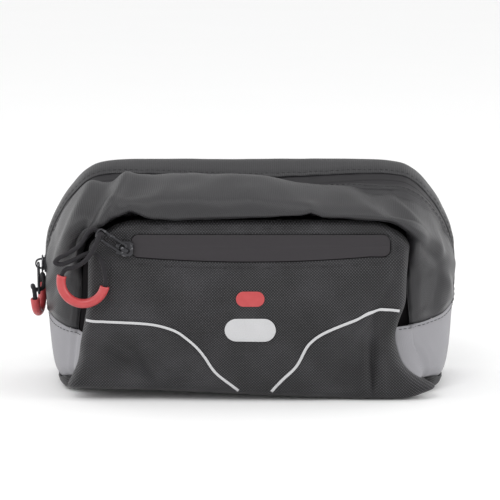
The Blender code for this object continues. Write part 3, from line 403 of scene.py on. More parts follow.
def ripple(points, strength):
    total = np.zeros(points.shape[:-1])
    for way, phase, length in WAVES:
        way = way / np.linalg.norm(way)
        total += np.sin(points @ way * math.tau / length + phase) * (length / (42 * MM))
    return total * strength / math.sqrt(len(WAVES) / 4)


def puckers(along, seed, longest=20 * MM):
    """Uneven waves along a seam."""
    source = np.random.default_rng(seed)
    total = np.zeros_like(along)
    for _ in range(9):
        length = source.uniform(0.3, 1) * longest
        total += np.sin(along * math.tau / length + source.uniform(0, math.tau)) * length / longest
    return total / 2.2


def seam_puckers(u, v, seed, height, reach=9 * MM):
    """Small folds that run away from the first and the last row of a sheet."""
    first = puckers(u[:1], seed) * hump(v, 0, reach) * smooth(0, 2.5 * MM, v)
    gap = v[-1:] - v
    last = puckers(u[-1:], seed + 1) * hump(gap, 0, reach) * smooth(0, 2.5 * MM, gap)
    return height * (first + last)


def normals_of(grid):
    along = np.gradient(grid, axis=1)
    across = np.gradient(grid, axis=0)
    return unit(np.cross(across, along))


def outward_normals(grid):
    """The grid's normals on the side away from the inside of the bag."""
    normal = normals_of(grid)
    return -normal if (normal * facing_out(grid)).sum() < 0 else normal


def inside_edges(u, v, side_reach, end_reach):
    """Weights that rise from 0 at a sheet's edges: at its two sides alone, and at all four edges."""
    side = smooth(0, side_reach, u) * smooth(0, side_reach, u[:, -1:] - u)
    return side, smooth(0, end_reach, v) * smooth(0, end_reach, v[-1:] - v) * side


def lengths_of(grid):
    """Distance of each point from the first column and from the first row, along the cloth."""
    across = np.linalg.norm(np.diff(grid, axis=1), axis=2)
    down = np.linalg.norm(np.diff(grid, axis=0), axis=2)
    u = np.concatenate([np.zeros((len(grid), 1)), np.cumsum(across, axis=1)], axis=1)
    v = np.concatenate([np.zeros((1, grid.shape[1])), np.cumsum(down, axis=0)], axis=0)
    return u, v


def seam_roll(u, v, depth, reach):
    """How far the cloth turns in at its four sewn edges."""
    distance = np.minimum(np.minimum(u, u[:, -1:] - u), np.minimum(v, v[-1:] - v))
    return depth * hump(distance, 0, reach)


# Making meshes

BAG = bpy.data.collections.new("Bag")
bpy.context.scene.collection.children.link(BAG)


def place(item, replaces=()):
    BAG.objects.link(item)
    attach(item, "root")
    if replaces:
        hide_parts(*replaces)
    return item


def mesh_from(name, verts, faces, uvs=None):
    mesh = bpy.data.meshes.new(name)
    mesh.from_pydata(verts.reshape(-1, 3).tolist(), [], faces)
    if uvs is not None:
        layer = mesh.uv_layers.new(name="Cloth")
        index = np.zeros(len(mesh.loops), np.int32)
        mesh.loops.foreach_get("vertex_index", index)
        layer.data.foreach_set("uv", uvs.reshape(-1, 2)[index].ravel())
    mesh.shade_smooth()
    return mesh


def grid_faces(rows, columns, keep=None):
    i, j = np.meshgrid(np.arange(rows - 1), np.arange(columns - 1), indexing="ij")
    corner = i * columns + j
    quads = np.stack([corner, corner + 1, corner + columns + 1, corner + columns], axis=-1)
    quads = quads.reshape(-1, 4)
    if keep is not None:
        quads = quads[keep.ravel()]
    return quads.tolist()


def tube_faces(count, sides, closed=False):
    """Faces of a tube of this many rings, either closed to a loop or with its ends capped."""
    faces = []
    for i in range(count if closed else count - 1):
        ring, following = i * sides, (i + 1) % count * sides
        for j in range(sides):
            after = (j + 1) % sides
            faces.append((ring + j, ring + after, following + after, following + j))
    if not closed:
        faces.append(tuple(range(sides))[::-1])
        faces.append(tuple((count - 1) * sides + j for j in range(sides)))
    return faces


def solid_piece(name, verts, faces, material, replaces=(), uvs=None):
    """A closed mesh whose faces all turn outwards."""
    mesh = mesh_from(name, verts, faces, uvs)
    work = bmesh.new()
    work.from_mesh(mesh)
    bmesh.ops.recalc_face_normals(work, faces=work.faces)
    work.to_mesh(mesh)
    work.free()
    mesh.materials.append(material)
    return place(bpy.data.objects.new(name, mesh), replaces)


def cloth_piece(name, grid, outward, material, replaces, thickness, keep=None, uvs=None):
    """A sheet of cloth from a grid of points, thickened inwards, with its lengths as UVs."""
    grid = lifted(grid)
    if uvs is None:
        u, v = lengths_of(grid)
        u = u - u[:, -1:] / 2
        uvs = np.stack([u, v], axis=-1)
    faces = grid_faces(grid.shape[0], grid.shape[1], keep)
    mesh = mesh_from(name, grid, faces, uvs)
    if (normals_of(grid) * outward).sum() > 0:
        mesh.flip_normals()
    mesh.materials.append(material)
    item = bpy.data.objects.new(name, mesh)
    work = bmesh.new()
    work.from_mesh(mesh)
    bmesh.ops.delete(work, geom=[v for v in work.verts if not v.link_faces], context="VERTS")
    bmesh.ops.remove_doubles(work, verts=work.verts, dist=0.002 * MM)
    work.to_mesh(mesh)
    work.free()
    wall = item.modifiers.new("Wall", "SOLIDIFY")
    wall.thickness = thickness
    wall.offset = -1
    return place(item, replaces)


def facing_out(grid):
    """Directions away from the inside of the bag at each point."""
    return grid - point(grid[..., 0] * 0.5, 0 * grid[..., 0], BODY_HEIGHT * 0.4 + 0 * grid[..., 0])


# Materials

class Nodes:
    """Short way to build a node material."""

    def __init__(self, name, colour, roughness, metallic=0.0, uv="Cloth"):
        self.colour = colour
        self.made = bpy.data.materials.new(name)
        self.made.use_nodes = True
        self.tree = self.made.node_tree
        self.join = self.tree.links.new
        self.shader = self.tree.nodes["Principled BSDF"]
        self.shader.inputs["Base Color"].default_value = (*colour, 1)
        self.shader.inputs["Roughness"].default_value = roughness
        self.shader.inputs["Metallic"].default_value = metallic
        self.made.diffuse_color = (*colour, 1)
        if uv:
            source = self.tree.nodes.new("ShaderNodeUVMap")
            source.uv_map = uv
            self.place = source.outputs[0]
        else:
            source = self.tree.nodes.new("ShaderNodeTexCoord")
            self.place = source.outputs["Object"]
        split = self.tree.nodes.new("ShaderNodeSeparateXYZ")
        self.join(self.place, split.inputs[0])
        self.x, self.y, self.z = split.outputs

    def math(self, operation, first, second=None, third=None):
        node = self.tree.nodes.new("ShaderNodeMath")
        node.operation = operation
        for socket, value in zip(node.inputs, (first, second, third)):
            if value is None:
                continue
            if isinstance(value, (int, float)):
                socket.default_value = value
            else:
                self.join(value, socket)
        return node.outputs[0]

    def noise(self, scale, detail=2.0, roughness=0.5, stretch=(1, 1, 1)):
        mapping = self.tree.nodes.new("ShaderNodeMapping")
        mapping.inputs["Scale"].default_value = stretch
        self.join(self.place, mapping.inputs["Vector"])
        node = self.tree.nodes.new("ShaderNodeTexNoise")
        node.inputs["Scale"].default_value = scale
        node.inputs["Detail"].default_value = detail
        node.inputs["Roughness"].default_value = roughness
        self.join(mapping.outputs[0], node.inputs["Vector"])
        return node.outputs["Fac"]

    def wave(self, axis, length):
        """Sine from 0 to 1 along one axis with this length in metres."""
        turned = self.math("MULTIPLY", axis, math.tau / length)
        return self.math("MULTIPLY_ADD", self.math("SINE", turned), 0.5, 0.5)

    def range(self, value, low, high):
        node = self.tree.nodes.new("ShaderNodeMapRange")
        self.join(value, node.inputs["Value"])
        node.inputs["To Min"].default_value = low
        node.inputs["To Max"].default_value = high
        return node.outputs[0]

    def tint(self, factor, dark, light):
        """Base colour between two shades."""
        node = self.tree.nodes.new("ShaderNodeMix")
        node.data_type = "RGBA"
        self.join(factor, node.inputs[0])
        node.inputs[6].default_value = (*dark, 1)
        node.inputs[7].default_value = (*light, 1)
        self.join(node.outputs[2], self.shader.inputs["Base Color"])

    def tones(self, factor, dark, light):
        """Base colour between two brightnesses of the material's own colour."""
        self.tint(factor, shade(self.colour, dark), shade(self.colour, light))

    def added(self, value, centre, factor, base):
        """The base, with the value's difference from a centre times a factor added to it."""
        return self.math("MULTIPLY_ADD", self.math("SUBTRACT", value, centre), factor, base)

    def roughness(self, value, low, high):
        self.join(self.range(value, low, high), self.shader.inputs["Roughness"])

    def bump(self, height, distance, strength=1.0):
        node = self.tree.nodes.new("ShaderNodeBump")
        node.inputs["Strength"].default_value = strength
        node.inputs["Distance"].default_value = distance
        self.join(height, node.inputs["Height"])
        previous = self.shader.inputs["Normal"]
        if previous.is_linked:
            self.join(previous.links[0].from_socket, node.inputs["Normal"])
        self.join(node.outputs[0], previous)

    def sheen(self, weight, rough=0.4):
        self.shader.inputs["Sheen Weight"].default_value = weight
        self.shader.inputs["Sheen Roughness"].default_value = rough

    def coat(self, weight, rough):
        self.shader.inputs["Coat Weight"].default_value = weight
        self.shader.inputs["Coat Roughness"].default_value = rough

    def specular(self, level):
        self.shader.inputs["Specular IOR Level"].default_value = level


def shade(colour, factor):
    return tuple(min(channel * factor, 1.0) for channel in colour)


def woven(name, colour, roughness, cell, depth, contrast, worn=0.10, sheen=0.15, level=0.4):
    """Weave of crossing slanted threads, with lighter and darker places."""
    nodes = Nodes(name, colour, roughness)
    rising = nodes.wave(nodes.math("ADD", nodes.x, nodes.y), cell)
    falling = nodes.wave(nodes.math("SUBTRACT", nodes.x, nodes.y), cell)
    weave = nodes.math("MULTIPLY", rising, falling)
    patchy = nodes.noise(38, 3)
    nodes.tones(nodes.added(patchy, 0.5, worn * 4, weave), 1 - contrast, 1 + contrast)
    nodes.roughness(nodes.noise(120, 2), roughness - 0.08, roughness + 0.10)
    nodes.bump(nodes.noise(900, 2), 0.04 * MM, 0.6)
    nodes.bump(weave, depth)
    nodes.sheen(sheen)
    nodes.specular(level)
    return nodes.made


def coated_cloth():
    """Coated cloth of the body: fine upright rib, soft gloss, slight mottling."""
    nodes = Nodes("Coated cloth", (0.0185, 0.018, 0.020), 0.48)
    rib = nodes.wave(nodes.x, 1.15 * MM)
    cross = nodes.wave(nodes.y, 0.95 * MM)
    weave = nodes.math("MULTIPLY_ADD", cross, 0.35, rib)
    mottled = nodes.noise(26, 4)
    nodes.tones(nodes.added(weave, 0.6, 1.3, nodes.added(mottled, 0.5, 1.3, 0.5)), 0.66, 1.42)
    nodes.roughness(nodes.noise(60, 3), 0.34, 0.46)
    nodes.bump(nodes.noise(700, 2), 0.03 * MM, 0.5)
    nodes.bump(weave, 0.09 * MM)
    nodes.sheen(0.03)
    nodes.specular(0.5)
    return nodes.made


def zip_film(name, colour):
    """Coated tape with fine lines along the zip."""
    nodes = Nodes(name, colour, 0.46)
    lines = nodes.noise(260, 2, 0.6, (0.06, 1, 1))
    nodes.tones(lines, 0.82, 1.2)
    nodes.roughness(nodes.noise(90, 2), 0.40, 0.55)
    nodes.bump(nodes.wave(nodes.y, 0.55 * MM), 0.025 * MM)
    nodes.bump(lines, 0.05 * MM)
    nodes.specular(0.4)
    return nodes.made


def webbing():
    nodes = Nodes("Webbing", (0.022, 0.022, 0.025), 0.78)
    rib = nodes.wave(nodes.y, 1.5 * MM)
    thread = nodes.wave(nodes.x, 1.1 * MM)
    weave = nodes.math("MULTIPLY_ADD", thread, 0.4, rib)
    nodes.tones(nodes.added(nodes.noise(60, 3), 0.5, 0.8, weave), 0.7, 1.7)
    nodes.bump(nodes.noise(1200, 2), 0.05 * MM)
    nodes.bump(weave, 0.18 * MM)
    nodes.sheen(0.3)
    return nodes.made


def reflective():
    """Reflective film: fine sparkling grain on light grey."""
    nodes = Nodes("Reflective film", (0.50, 0.50, 0.51), 0.42)
    grain = nodes.noise(1500, 1, 0.7)
    soft = nodes.noise(70, 3)
    nodes.tones(nodes.math("MULTIPLY_ADD", soft, 0.5, nodes.math("MULTIPLY", grain, 0.5)), 0.82, 1.22)
    nodes.roughness(grain, 0.30, 0.52)
    nodes.bump(grain, 0.04 * MM)
    return nodes.made


def rubber():
    """Soft red rubber with a thin gloss, lighter in places."""
    colour = (0.45, 0.042, 0.046)
    nodes = Nodes("Red rubber", colour, 0.36, uv=None)
    dust = nodes.noise(300, 3)
    nodes.tint(dust, shade(colour, 0.90), (0.49, 0.062, 0.066))
    nodes.roughness(nodes.noise(160, 3), 0.28, 0.46)
    nodes.bump(nodes.noise(900, 2), 0.03 * MM)
    nodes.coat(0.12, 0.25)
    return nodes.made


def braid():
    nodes = Nodes("Braided cord", (0.010, 0.009, 0.011), 0.78)
    fine = nodes.wave(nodes.math("ADD", nodes.x, nodes.y), 0.5 * MM)
    other = nodes.wave(nodes.math("SUBTRACT", nodes.x, nodes.y), 0.5 * MM)
    weave = nodes.math("MAXIMUM", fine, other)
    nodes.tones(weave, 0.6, 1.8)
    nodes.bump(weave, 0.08 * MM)
    nodes.bump(nodes.noise(900, 2), 0.04 * MM)
    nodes.sheen(0.06)
    nodes.specular(0.35)
    return nodes.made


def thread():
    nodes = Nodes("Thread", (0.014, 0.013, 0.015), 0.65, uv=None)
    nodes.tones(nodes.noise(1500, 2), 0.7, 1.4)
    nodes.bump(nodes.noise(3000, 2), 0.05 * MM)
    nodes.sheen(0.05)
    return nodes.made


def plated():
    """Dark plated metal, rubbed bright in places."""
    colour = (0.050, 0.050, 0.054)
    nodes = Nodes("Dark metal", colour, 0.34, 0.9, uv=None)
    worn = nodes.noise(420, 4, 0.6)
    edge = nodes.math("GREATER_THAN", worn, 0.60)
    nodes.tint(nodes.math("MULTIPLY", edge, worn), colour, (0.20, 0.20, 0.21))
    nodes.roughness(worn, 0.26, 0.50)
    nodes.bump(nodes.noise(1600, 2), 0.02 * MM)
    return nodes.made


COATED = coated_cloth()
RIPSTOP = woven("Ripstop", (0.035, 0.034, 0.038), 0.60, cell=1.55 * MM, depth=0.26 * MM, contrast=0.90,
                worn=0.22, sheen=0.08)
# Black cloth of the pocket's side wall, made far darker than black cloth is, as painted shade for the gap
# between the pocket and the body
BLACK_SIDE_WITH_PAINTED_SHADE = woven("Side cloth with painted shade", (0.006, 0.005, 0.006), 0.85, cell=0.9 * MM, depth=0.08 * MM, contrast=0.3,
                  sheen=0.0, level=0.15)
LINING = woven("Lining", (0.030, 0.029, 0.032), 0.75, cell=0.7 * MM, depth=0.04 * MM, contrast=0.25)
CORNER = woven("Corner cloth", (0.258, 0.255, 0.271), 0.62, cell=0.8 * MM, depth=0.05 * MM, contrast=0.07,
               worn=0.07, sheen=0.05)
FILM_MATERIAL = zip_film("Zip film", (0.021, 0.018, 0.021))
BAND_MATERIAL = zip_film("Zip band", (0.009, 0.008, 0.010))
WEBBING = webbing()
REFLECTIVE = reflective()
RUBBER = rubber()
BRAID = braid()
THREAD = thread()
METAL = plated()


# Pulls, in millimetres and degrees: where the slider sits, which way its link points, the middle of its
# grip, and the cord's points from one end of the grip to the link, round the link's end and back

POCKET_PULL = {
    "slider": (-66.0, 82.5), "link_angle": 146, "link_rise": 0.6, "grip": (-87.9, -46.2, 65.5),
    "before": [(-96.6, -46.4, 72.4), (-92.6, -46.9, 73.4), (-87.5, -47.9, 76.3), (-83.0, -48.8, 81.5),
               (-80.4, -49.0, 86.8)],
    "round_link": (125, 180, 225, 270),
    "after": [(-82.6, -43.9, 93.2), (-85.8, -45.3, 90.6), (-89.6, -46.0, 84.9), (-95.7, -46.2, 80.6),
              (-100.9, -46.2, 78.0), (-102.4, -46.2, 75.6), (-98.7, -46.2, 75.0), (-91.0, -45.9, 78.0),
              (-86.0, -45.2, 80.3), (-81.5, -44.9, 80.2), (-78.4, -45.4, 77.0), (-76.6, -46.0, 70.5)],
}
MAIN_PULL = {
    "arch": -0.675, "section": 4.5, "link_rise": -0.6, "grip": (-116.8, 10.0, 50.0), "grip_turn": 5,
    "before": [(-115.4, 18.9, 57.6), (-114.3, 15.2, 54.6)],
    "round_link": (225, 180, 135),
    "after": [(-119.7, 9.0, 51.6), (-119.6, 4.2, 53.8), (-118.6, -0.6, 53.8)],
}
# Angles round the grip's curve at which the grip and the cord inside it end
GRIP_START, GRIP_END, CORD_START, CORD_END = 163, 348, 264, 276


def dense(points, step, fineness=24):
    """Even points along a smooth curve through the given ones."""
    points = np.array(points, float)
    places = np.linspace(0, len(points) - 1, fineness * len(points))
    fine = np.stack([through(points[:, k], places) for k in range(3)], 1)
    along = lengths_along(fine)
    even = np.linspace(0, along[-1], max(round(along[-1] / step), 2) + 1)
    return read_along(fine, along, even)


def axes(origin, x, y):
    """Matrix at a place in metres with these two directions as its X and Y."""
    turn = Matrix((list(x), list(y), np.cross(x, y).tolist())).transposed().to_4x4()
    return Matrix.Translation(list(origin)) @ turn


def link_place(origin, along, outward):
    """Matrix with its X along the pull's link and its Z away from the bag."""
    x = unit(along - outward * (along @ outward))
    return axes(origin, x, np.cross(outward, x))


def on_grip(grip, angle, forward=0):
    """Place on the grip's curve, or in front of it in line with its bore."""
    t = math.radians(angle)
    x = GRIP_RADIUS * math.cos(t) - forward * math.sin(t)
    return tuple(grip @ Vector((x, GRIP_RADIUS * math.sin(t) + forward * math.cos(t), 0)))


def cord_route(pull, slider, grip):
    """The cord's points in metres, which the solids' route has too, to a hundredth of a millimetre."""
    reach, bend = LINK_LENGTH - LINK_WIRE, (LINK_WIRE + CORD_DIAMETER) / 2 + 2 * GAP
    height = EYE_HEIGHT + pull["link_rise"] * MM
    points = [on_grip(grip, angle) for angle in np.linspace(CORD_START, GRIP_START, 9)]
    points.append(on_grip(grip, GRIP_START, -CORD_DIAMETER))
    points += [tuple(np.array(dot) * MM) for dot in pull["before"]]
    for t in np.radians(pull["round_link"]):
        points.append(tuple(slider @ Vector((reach + bend * math.cos(t), 0, height + bend * math.sin(t)))))
    points += [tuple(np.array(dot) * MM) for dot in pull["after"]]
    points.append(on_grip(grip, GRIP_END, CORD_DIAMETER))
    points += [on_grip(grip, angle) for angle in np.linspace(GRIP_END, CORD_END, 9)]
    return np.round(dense(points, 1.3 * CORD_DIAMETER, fineness=16), 5)


def carried(line):
    """Two directions across a line that turn as little as possible along it."""
    tangent = unit(np.gradient(line, axis=0))
    side = np.zeros_like(line)
    start = np.array([0.0, 0, 1]) if abs(tangent[0, 2]) < 0.8 else np.array([1.0, 0, 0])
    side[0] = unit(start - tangent[0] * (start @ tangent[0]))
    for i in range(1, len(line)):
        turned = side[i - 1] - tangent[i] * (side[i - 1] @ tangent[i])
        side[i] = turned / np.linalg.norm(turned)
    return side, np.cross(tangent, side)


def circle(side, other, sides):
    """Directions round each point of a line."""
    angles = np.arange(sides) * math.tau / sides
    return np.cos(angles)[None, :, None] * side[:, None] + np.sin(angles)[None, :, None] * other[:, None]


def braided_cord(name, line, replaces):
    """Cord along a line, with the strands of its braid crossing in two directions."""
    sides = 16
    side, other = carried(line)
    angles, turn = np.arange(sides) * math.tau / sides, np.arange(len(line))[:, None] * 0.36
    strands = np.maximum(np.sin(4 * angles + turn), np.sin(4 * angles - turn))
    reach = CORD_DIAMETER / 2 * (0.98 + 0.05 * strands)
    verts = line[:, None] + circle(side, other, sides) * reach[..., None]
    along = lengths_along(line)
    uvs = np.stack(np.broadcast_arrays(angles[None, :] * CORD_DIAMETER / 2, along[:, None]), -1)
    return solid_piece(name, verts, tube_faces(len(line), sides), BRAID, replaces, uvs)


def grip_of(name, where, replaces, swell):
    """Curved rubber sleeve with slightly swollen, rounded ends."""
    last, sides, bore = 60, 28, GRIP_BORE / 2
    turns = np.radians(np.linspace(GRIP_START, GRIP_END, last + 1))
    line = [where @ Vector((GRIP_RADIUS * math.cos(t), GRIP_RADIUS * math.sin(t), 0)) for t in turns]
    line = np.array(line)
    share = np.minimum(np.arange(last + 1), last - np.arange(last + 1)) / last
    radii = GRIP_DIAMETER / 2 * (1 + swell * hump(share, 0, 0.05))
    ring = circle(*carried(line), sides)
    tangent = unit(np.gradient(line, axis=0))

    def end_rows(k, way):
        """From the bore's mouth out over the rounded rim."""
        inwards = tangent[k] * way * MM
        return [
            line[k] + inwards * 0.02 + ring[k] * bore,
            line[k] + ring[k] * (bore + 0.15 * MM),
            line[k] + ring[k] * (radii[k] - 0.35 * MM),
            line[k] + inwards * 0.12 + ring[k] * (radii[k] - 0.10 * MM),
        ]

    rows = end_rows(0, 1) + [line[k] + ring[k] * radii[k] for k in range(1, last)]
    rows += end_rows(last, -1)[::-1] + [line[k] + ring[k] * bore for k in range(last - 1, 0, -1)]
    faces = tube_faces(len(rows), sides, closed=True)
    return solid_piece(name, np.array(rows), faces, RUBBER, replaces)


def link_of(name, where, rise, replaces):
    """Closed wire loop of the pull."""
    half, corner = LINK_WIDTH / 2 - LINK_WIRE / 2, 1.4 * MM
    reach = LINK_LENGTH - LINK_WIRE
    flat = []
    for x, y, start in ((0, 1, 90), (0, -1, 180), (1, -1, 270), (1, 1, 0)):
        cx, cy = (corner if x == 0 else reach - corner), y * (half - corner)
        for angle in np.linspace(start, start + 90, 9):
            t = math.radians(angle)
            flat.append((cx + corner * math.cos(t), cy + corner * math.sin(t)))
    line = []
    for first, second in zip(flat, flat[1:] + flat[:1]):
        count = max(1, round(math.dist(first, second) / MM))
        for k in range(count):
            line.append(tuple(a + (b - a) * k / count for a, b in zip(first, second)))
    points = np.array([where @ Vector((x, y, EYE_HEIGHT + rise * x / reach)) for x, y in line])
    across = np.broadcast_to(np.array(where.to_3x3() @ Vector((0, 0, 1))), points.shape)
    tangent = unit(np.roll(points, -1, axis=0) - np.roll(points, 1, axis=0))
    sides = 14
    verts = points[:, None] + LINK_WIRE / 2 * circle(across, np.cross(tangent, across), sides)
    faces = tube_faces(len(points), sides, closed=True)
    return solid_piece(name, verts, faces, METAL, replaces)


def polygon_block(outline, low, high, bevel):
    """Flat plate from an outline in XY between two heights, with rounded edges."""
    work = bmesh.new()
    face = work.faces.new([work.verts.new((x, y, low)) for x, y in outline])
    deep = bmesh.ops.extrude_face_region(work, geom=[face])["geom"]
    moved = [item for item in deep if isinstance(item, bmesh.types.BMVert)]
    bmesh.ops.translate(work, verts=moved, vec=Vector((0, 0, high - low)))
    bmesh.ops.recalc_face_normals(work, faces=work.faces)
    edges = [e for e in work.edges if e.calc_face_angle(0) > math.radians(40)]
    bmesh.ops.bevel(work, geom=edges, offset=bevel, segments=3, affect="EDGES", profile=0.5)
    return work


def slider_of(name, where, run, replaces):
    """Zip slider: two waisted plates joined by a neck, with a bridge for the pull's loop."""
    turn = Matrix.Rotation(math.radians(run), 4, "Z")
    waist = [(-4.5, -2.6), (-3.2, -4.0), (0.6, -4.0), (2.4, -3.0), (4.5, -2.6), (4.5, 2.6), (2.4, 3.0),
             (0.6, 4.0), (-3.2, 4.0), (-4.5, 2.6)]
    outline = [(x * MM, y * MM) for x, y in waist]
    whole = bmesh.new()
    parts = [
        (polygon_block(outline, 0.05 * MM, 1.0 * MM, 0.3 * MM), turn),
        (polygon_block(outline, 1.7 * MM, 2.6 * MM, 0.35 * MM), turn),
        (polygon_block([(x * 0.75, y * 0.7) for x, y in outline], 0.8 * MM, 1.9 * MM, 0.1 * MM), turn),
    ]
    for work, move in parts:
        bmesh.ops.transform(work, matrix=where @ move, verts=work.verts)
        mesh = bpy.data.meshes.new("part")
        work.to_mesh(mesh)
        work.free()
        whole.from_mesh(mesh)
        bpy.data.meshes.remove(mesh)
    mesh = bpy.data.meshes.new(name)
    whole.to_mesh(mesh)
    whole.free()
    mesh.materials.append(METAL)
    mesh.shade_smooth()
    item = place(bpy.data.objects.new(name, mesh), replaces)
    # Bridge: a strap of metal that arches over the loop's bar
    arch = [(-2.6, 2.3), (-2.5, 3.6), (-1.8, 5.1), (-0.6, 5.75)]
    arch += [(-x, z) for x, z in arch[::-1]]
    line = dense([tuple(where @ Vector((x * MM, 0, z * MM))) for x, z in arch], 0.3 * MM)
    across = np.array(where.to_3x3() @ Vector((0, 1, 0)))
    outward = np.cross(unit(np.gradient(line, axis=0)), across)
    section = [(1.0, 0.25), (0.85, 0.4), (-0.85, 0.4), (-1.0, 0.25)]
    section += [(-a, -b) for a, b in section]
    verts = np.stack([line + across * a * MM + outward * b * MM for a, b in section], axis=1)
    faces = tube_faces(len(line), len(section))
    solid_piece(name + "_bridge", verts, faces, METAL)
    return item


def make_pull(name, pull, slider, run, grip):
    slider_of(name + "_slider_body", slider, run, (name + "_slider",))
    loop = link_of(name + "_pull_loop", slider, pull["link_rise"] * MM, (name + "_pull_link",))
    sleeve = grip_of(name + "_grip_sleeve", grip, (name + "_pull_grip",), 0.05)
    line = dense(cord_route(pull, slider, grip), 0.28 * MM)
    cord = braided_cord(name + "_braided_cord", line, (name + "_pull_cord",))


def make_pocket_pull():
    x, z = np.array(POCKET_PULL["slider"]) * MM
    outward = panel_normal(x, z, detail=0)
    foot = panel_point(x, z, detail=0) + outward * TRIM_GAP
    angle = math.radians(POCKET_PULL["link_angle"])
    slider = link_place(foot, np.array([math.cos(angle), 0, math.sin(angle)]), outward)
    grip = axes(np.array(POCKET_PULL["grip"]) * MM, (1, 0, 0), (0, 0, 1))
    make_pull("pocket", POCKET_PULL, slider, 180 - POCKET_PULL["link_angle"], grip)


def make_main_pull():
    arch, section, step = MAIN_PULL["arch"], MAIN_PULL["section"], 0.01
    along = body_point(arch - step, section) - body_point(arch + step, section)
    across = body_point(arch, section + step) - body_point(arch, section - step)
    outward = unit(np.cross(across, -along))
    slider = link_place(body_point(arch, section) + outward * GAP, along, outward)
    turn = math.radians(MAIN_PULL["grip_turn"])
    grip = axes(np.array(MAIN_PULL["grip"]) * MM, (-math.sin(turn), -math.cos(turn), 0), (0, 0, 1))
    make_pull("main", MAIN_PULL, slider, 0, grip)


make_pocket_pull()
make_main_pull()


# Cloth of the body

def upper_shares(gap, count):
    """Places round the arch between the two corner panels."""
    left, right = -(LEFT_PATCH - gap / ARCH_LENGTH), RIGHT_PATCH - gap / ARCH_LENGTH
    half = count // 2
    return np.concatenate([np.linspace(left, 0, half, endpoint=False), np.linspace(0, right, half)])


def body_cloth(first, last, rows, columns, strength, seed, pucker, detail=(), puff=0.0, grooves=()):
    """A band round the arch, with rolled seams, small folds and ripples, puffed between its seams."""
    shares = upper_shares(GAP / 2, columns)
    sections = np.linspace(first, last, rows)
    grid = body_point(shares[None, :], sections[:, None])
    normal = outward_normals(grid)
    u, v = lengths_of(grid)
    side, inner = inside_edges(u, v, 6 * MM, 5 * MM)
    rise = folds_on_body(detail, grid) * MM
    rise = rise * (1 - 0.7 * smooth(LIP - 0.1, LIP + 0.5, sections)[:, None])
    rise = (rise + ripple(grid, strength) + puff) * inner + seam_puckers(u, v, seed, pucker) * side
    rise = rise - seam_roll(u, v, 0.7 * MM, 1.0 * MM)
    for middle, wide, deep in grooves:
        rise = rise - deep * hump(v, middle * v[-1:], wide)
    return grid + normal * rise[..., None], sections[:, None] + 0 * u


def overhang(grid, section):
    """The lip's waves, and the lobe of cloth that hangs over the pocket's side at the right."""
    x, z = grid[..., 0], grid[..., 2]
    wave = np.interp(x / MM, LIP_WAVE[:, 0], LIP_WAVE[:, 1]) * MM
    near = smooth(LIP - 1.6, LIP, section) * (1 - smooth(TUCK + 0.1, SEAM, section))
    near = near * smooth(0.45, 0.62, z / BODY_HEIGHT)
    lobe = smooth(LIP - 1.8, TUCK + 0.2, section) * smooth(0.28, 0.36, x / BODY_WIDTH)
    lobe = lobe * smooth(0.14, 0.30, z / BODY_HEIGHT) * (1 - smooth(0.62, 0.76, z / BODY_HEIGHT))
    lobe = lobe * (1 - smooth(SEAM, SEAM + 0.4, section))
    return grid + point(-LOBE_IN * lobe, -LOBE_FORWARD * lobe, wave * near)


def welted(grid):
    """The cloth with a turned hem along its first row: a raised welt and a sewn-down line."""
    v = lengths_of(grid)[1]
    rise = 0.8 * MM * hump(v, 1.5 * MM, 0.9 * MM) - 0.7 * MM * hump(v, 3.6 * MM, 0.7 * MM)
    return grid + outward_normals(grid) * rise[..., None]


def make_body():
    front, section = body_cloth(ZIP_FRONT + HEM_GAP, SEAM, rows=130, columns=340, strength=0.36 * MM,
                                seed=11, pucker=0.30 * MM, detail=BODY_DETAIL, puff=1.0 * MM)
    front = welted(overhang(front, section))
    cloth_piece("front_cloth", front, facing_out(front), COATED, ("front_shell",),
                FRONT_SHEET)
    rear, section = body_cloth(0, ZIP_REAR - HEM_GAP, rows=50, columns=280, strength=0.12 * MM, seed=21,
                               pucker=0.18 * MM, puff=0.9 * MM)
    cloth_piece("rear_cloth", rear, facing_out(rear), COATED, ("rear_gusset",), BODY_SHEET)
    # One groove sinks the whole film and the other is the line between its two halves
    grooves = (0.5, 100 * MM, FILM_DEPTH), (0.5, 0.3 * MM, 0.5 * MM)
    film, section = body_cloth(ZIP_REAR - FILM_UNDER, ZIP_FRONT + FILM_UNDER, rows=40, columns=280,
                               strength=0.08 * MM, seed=31, pucker=0.10 * MM, grooves=grooves)
    cloth_piece("main_zip_film", film, facing_out(film), BAND_MATERIAL, ("main_zip",),
                BAND_SHEET)
    return front, rear


def softened(grid, reach):
    """The grid with its rows averaged over their neighbours, less and less towards both ends."""
    count = len(grid)
    made = grid.copy()
    for i in range(1, count - 1):
        far = min(reach, i, count - 1 - i)
        made[i] = grid[i - far:i + far + 1].mean(axis=0)
    return made


def make_corner(name, side, replaces):
    sections = np.linspace(0, RIM_SECTION, 150)
    low = turn_up_arch(side, sections) - GAP / 2 / ARCH_LENGTH
    top = (LEFT_PATCH if side < 0 else RIGHT_PATCH) + GAP / 2 / ARCH_LENGTH
    share = np.linspace(0, 1, 44)
    arches = top + (low[:, None] - top) * share[None, :]
    grid = side_point(side * arches, sections[:, None])
    away_from_top = smooth(0, 0.12, share)[None, :, None]
    grid = grid + (softened(grid, 28) - grid) * away_from_top
    grid = overhang(grid, sections[:, None] + 0 * arches)
    u, v = lengths_of(grid)
    rise = (ripple(grid, 0.10 * MM) + 0.8 * MM) * inside_edges(u, v, 5 * MM, 5 * MM)[1]
    rise -= seam_roll(u, v, 0.5 * MM, 0.8 * MM)
    grid = grid + outward_normals(grid) * rise[..., None]
    cloth_piece(name, grid, facing_out(grid), CORNER, replaces, FRONT_SHEET)
    return grid


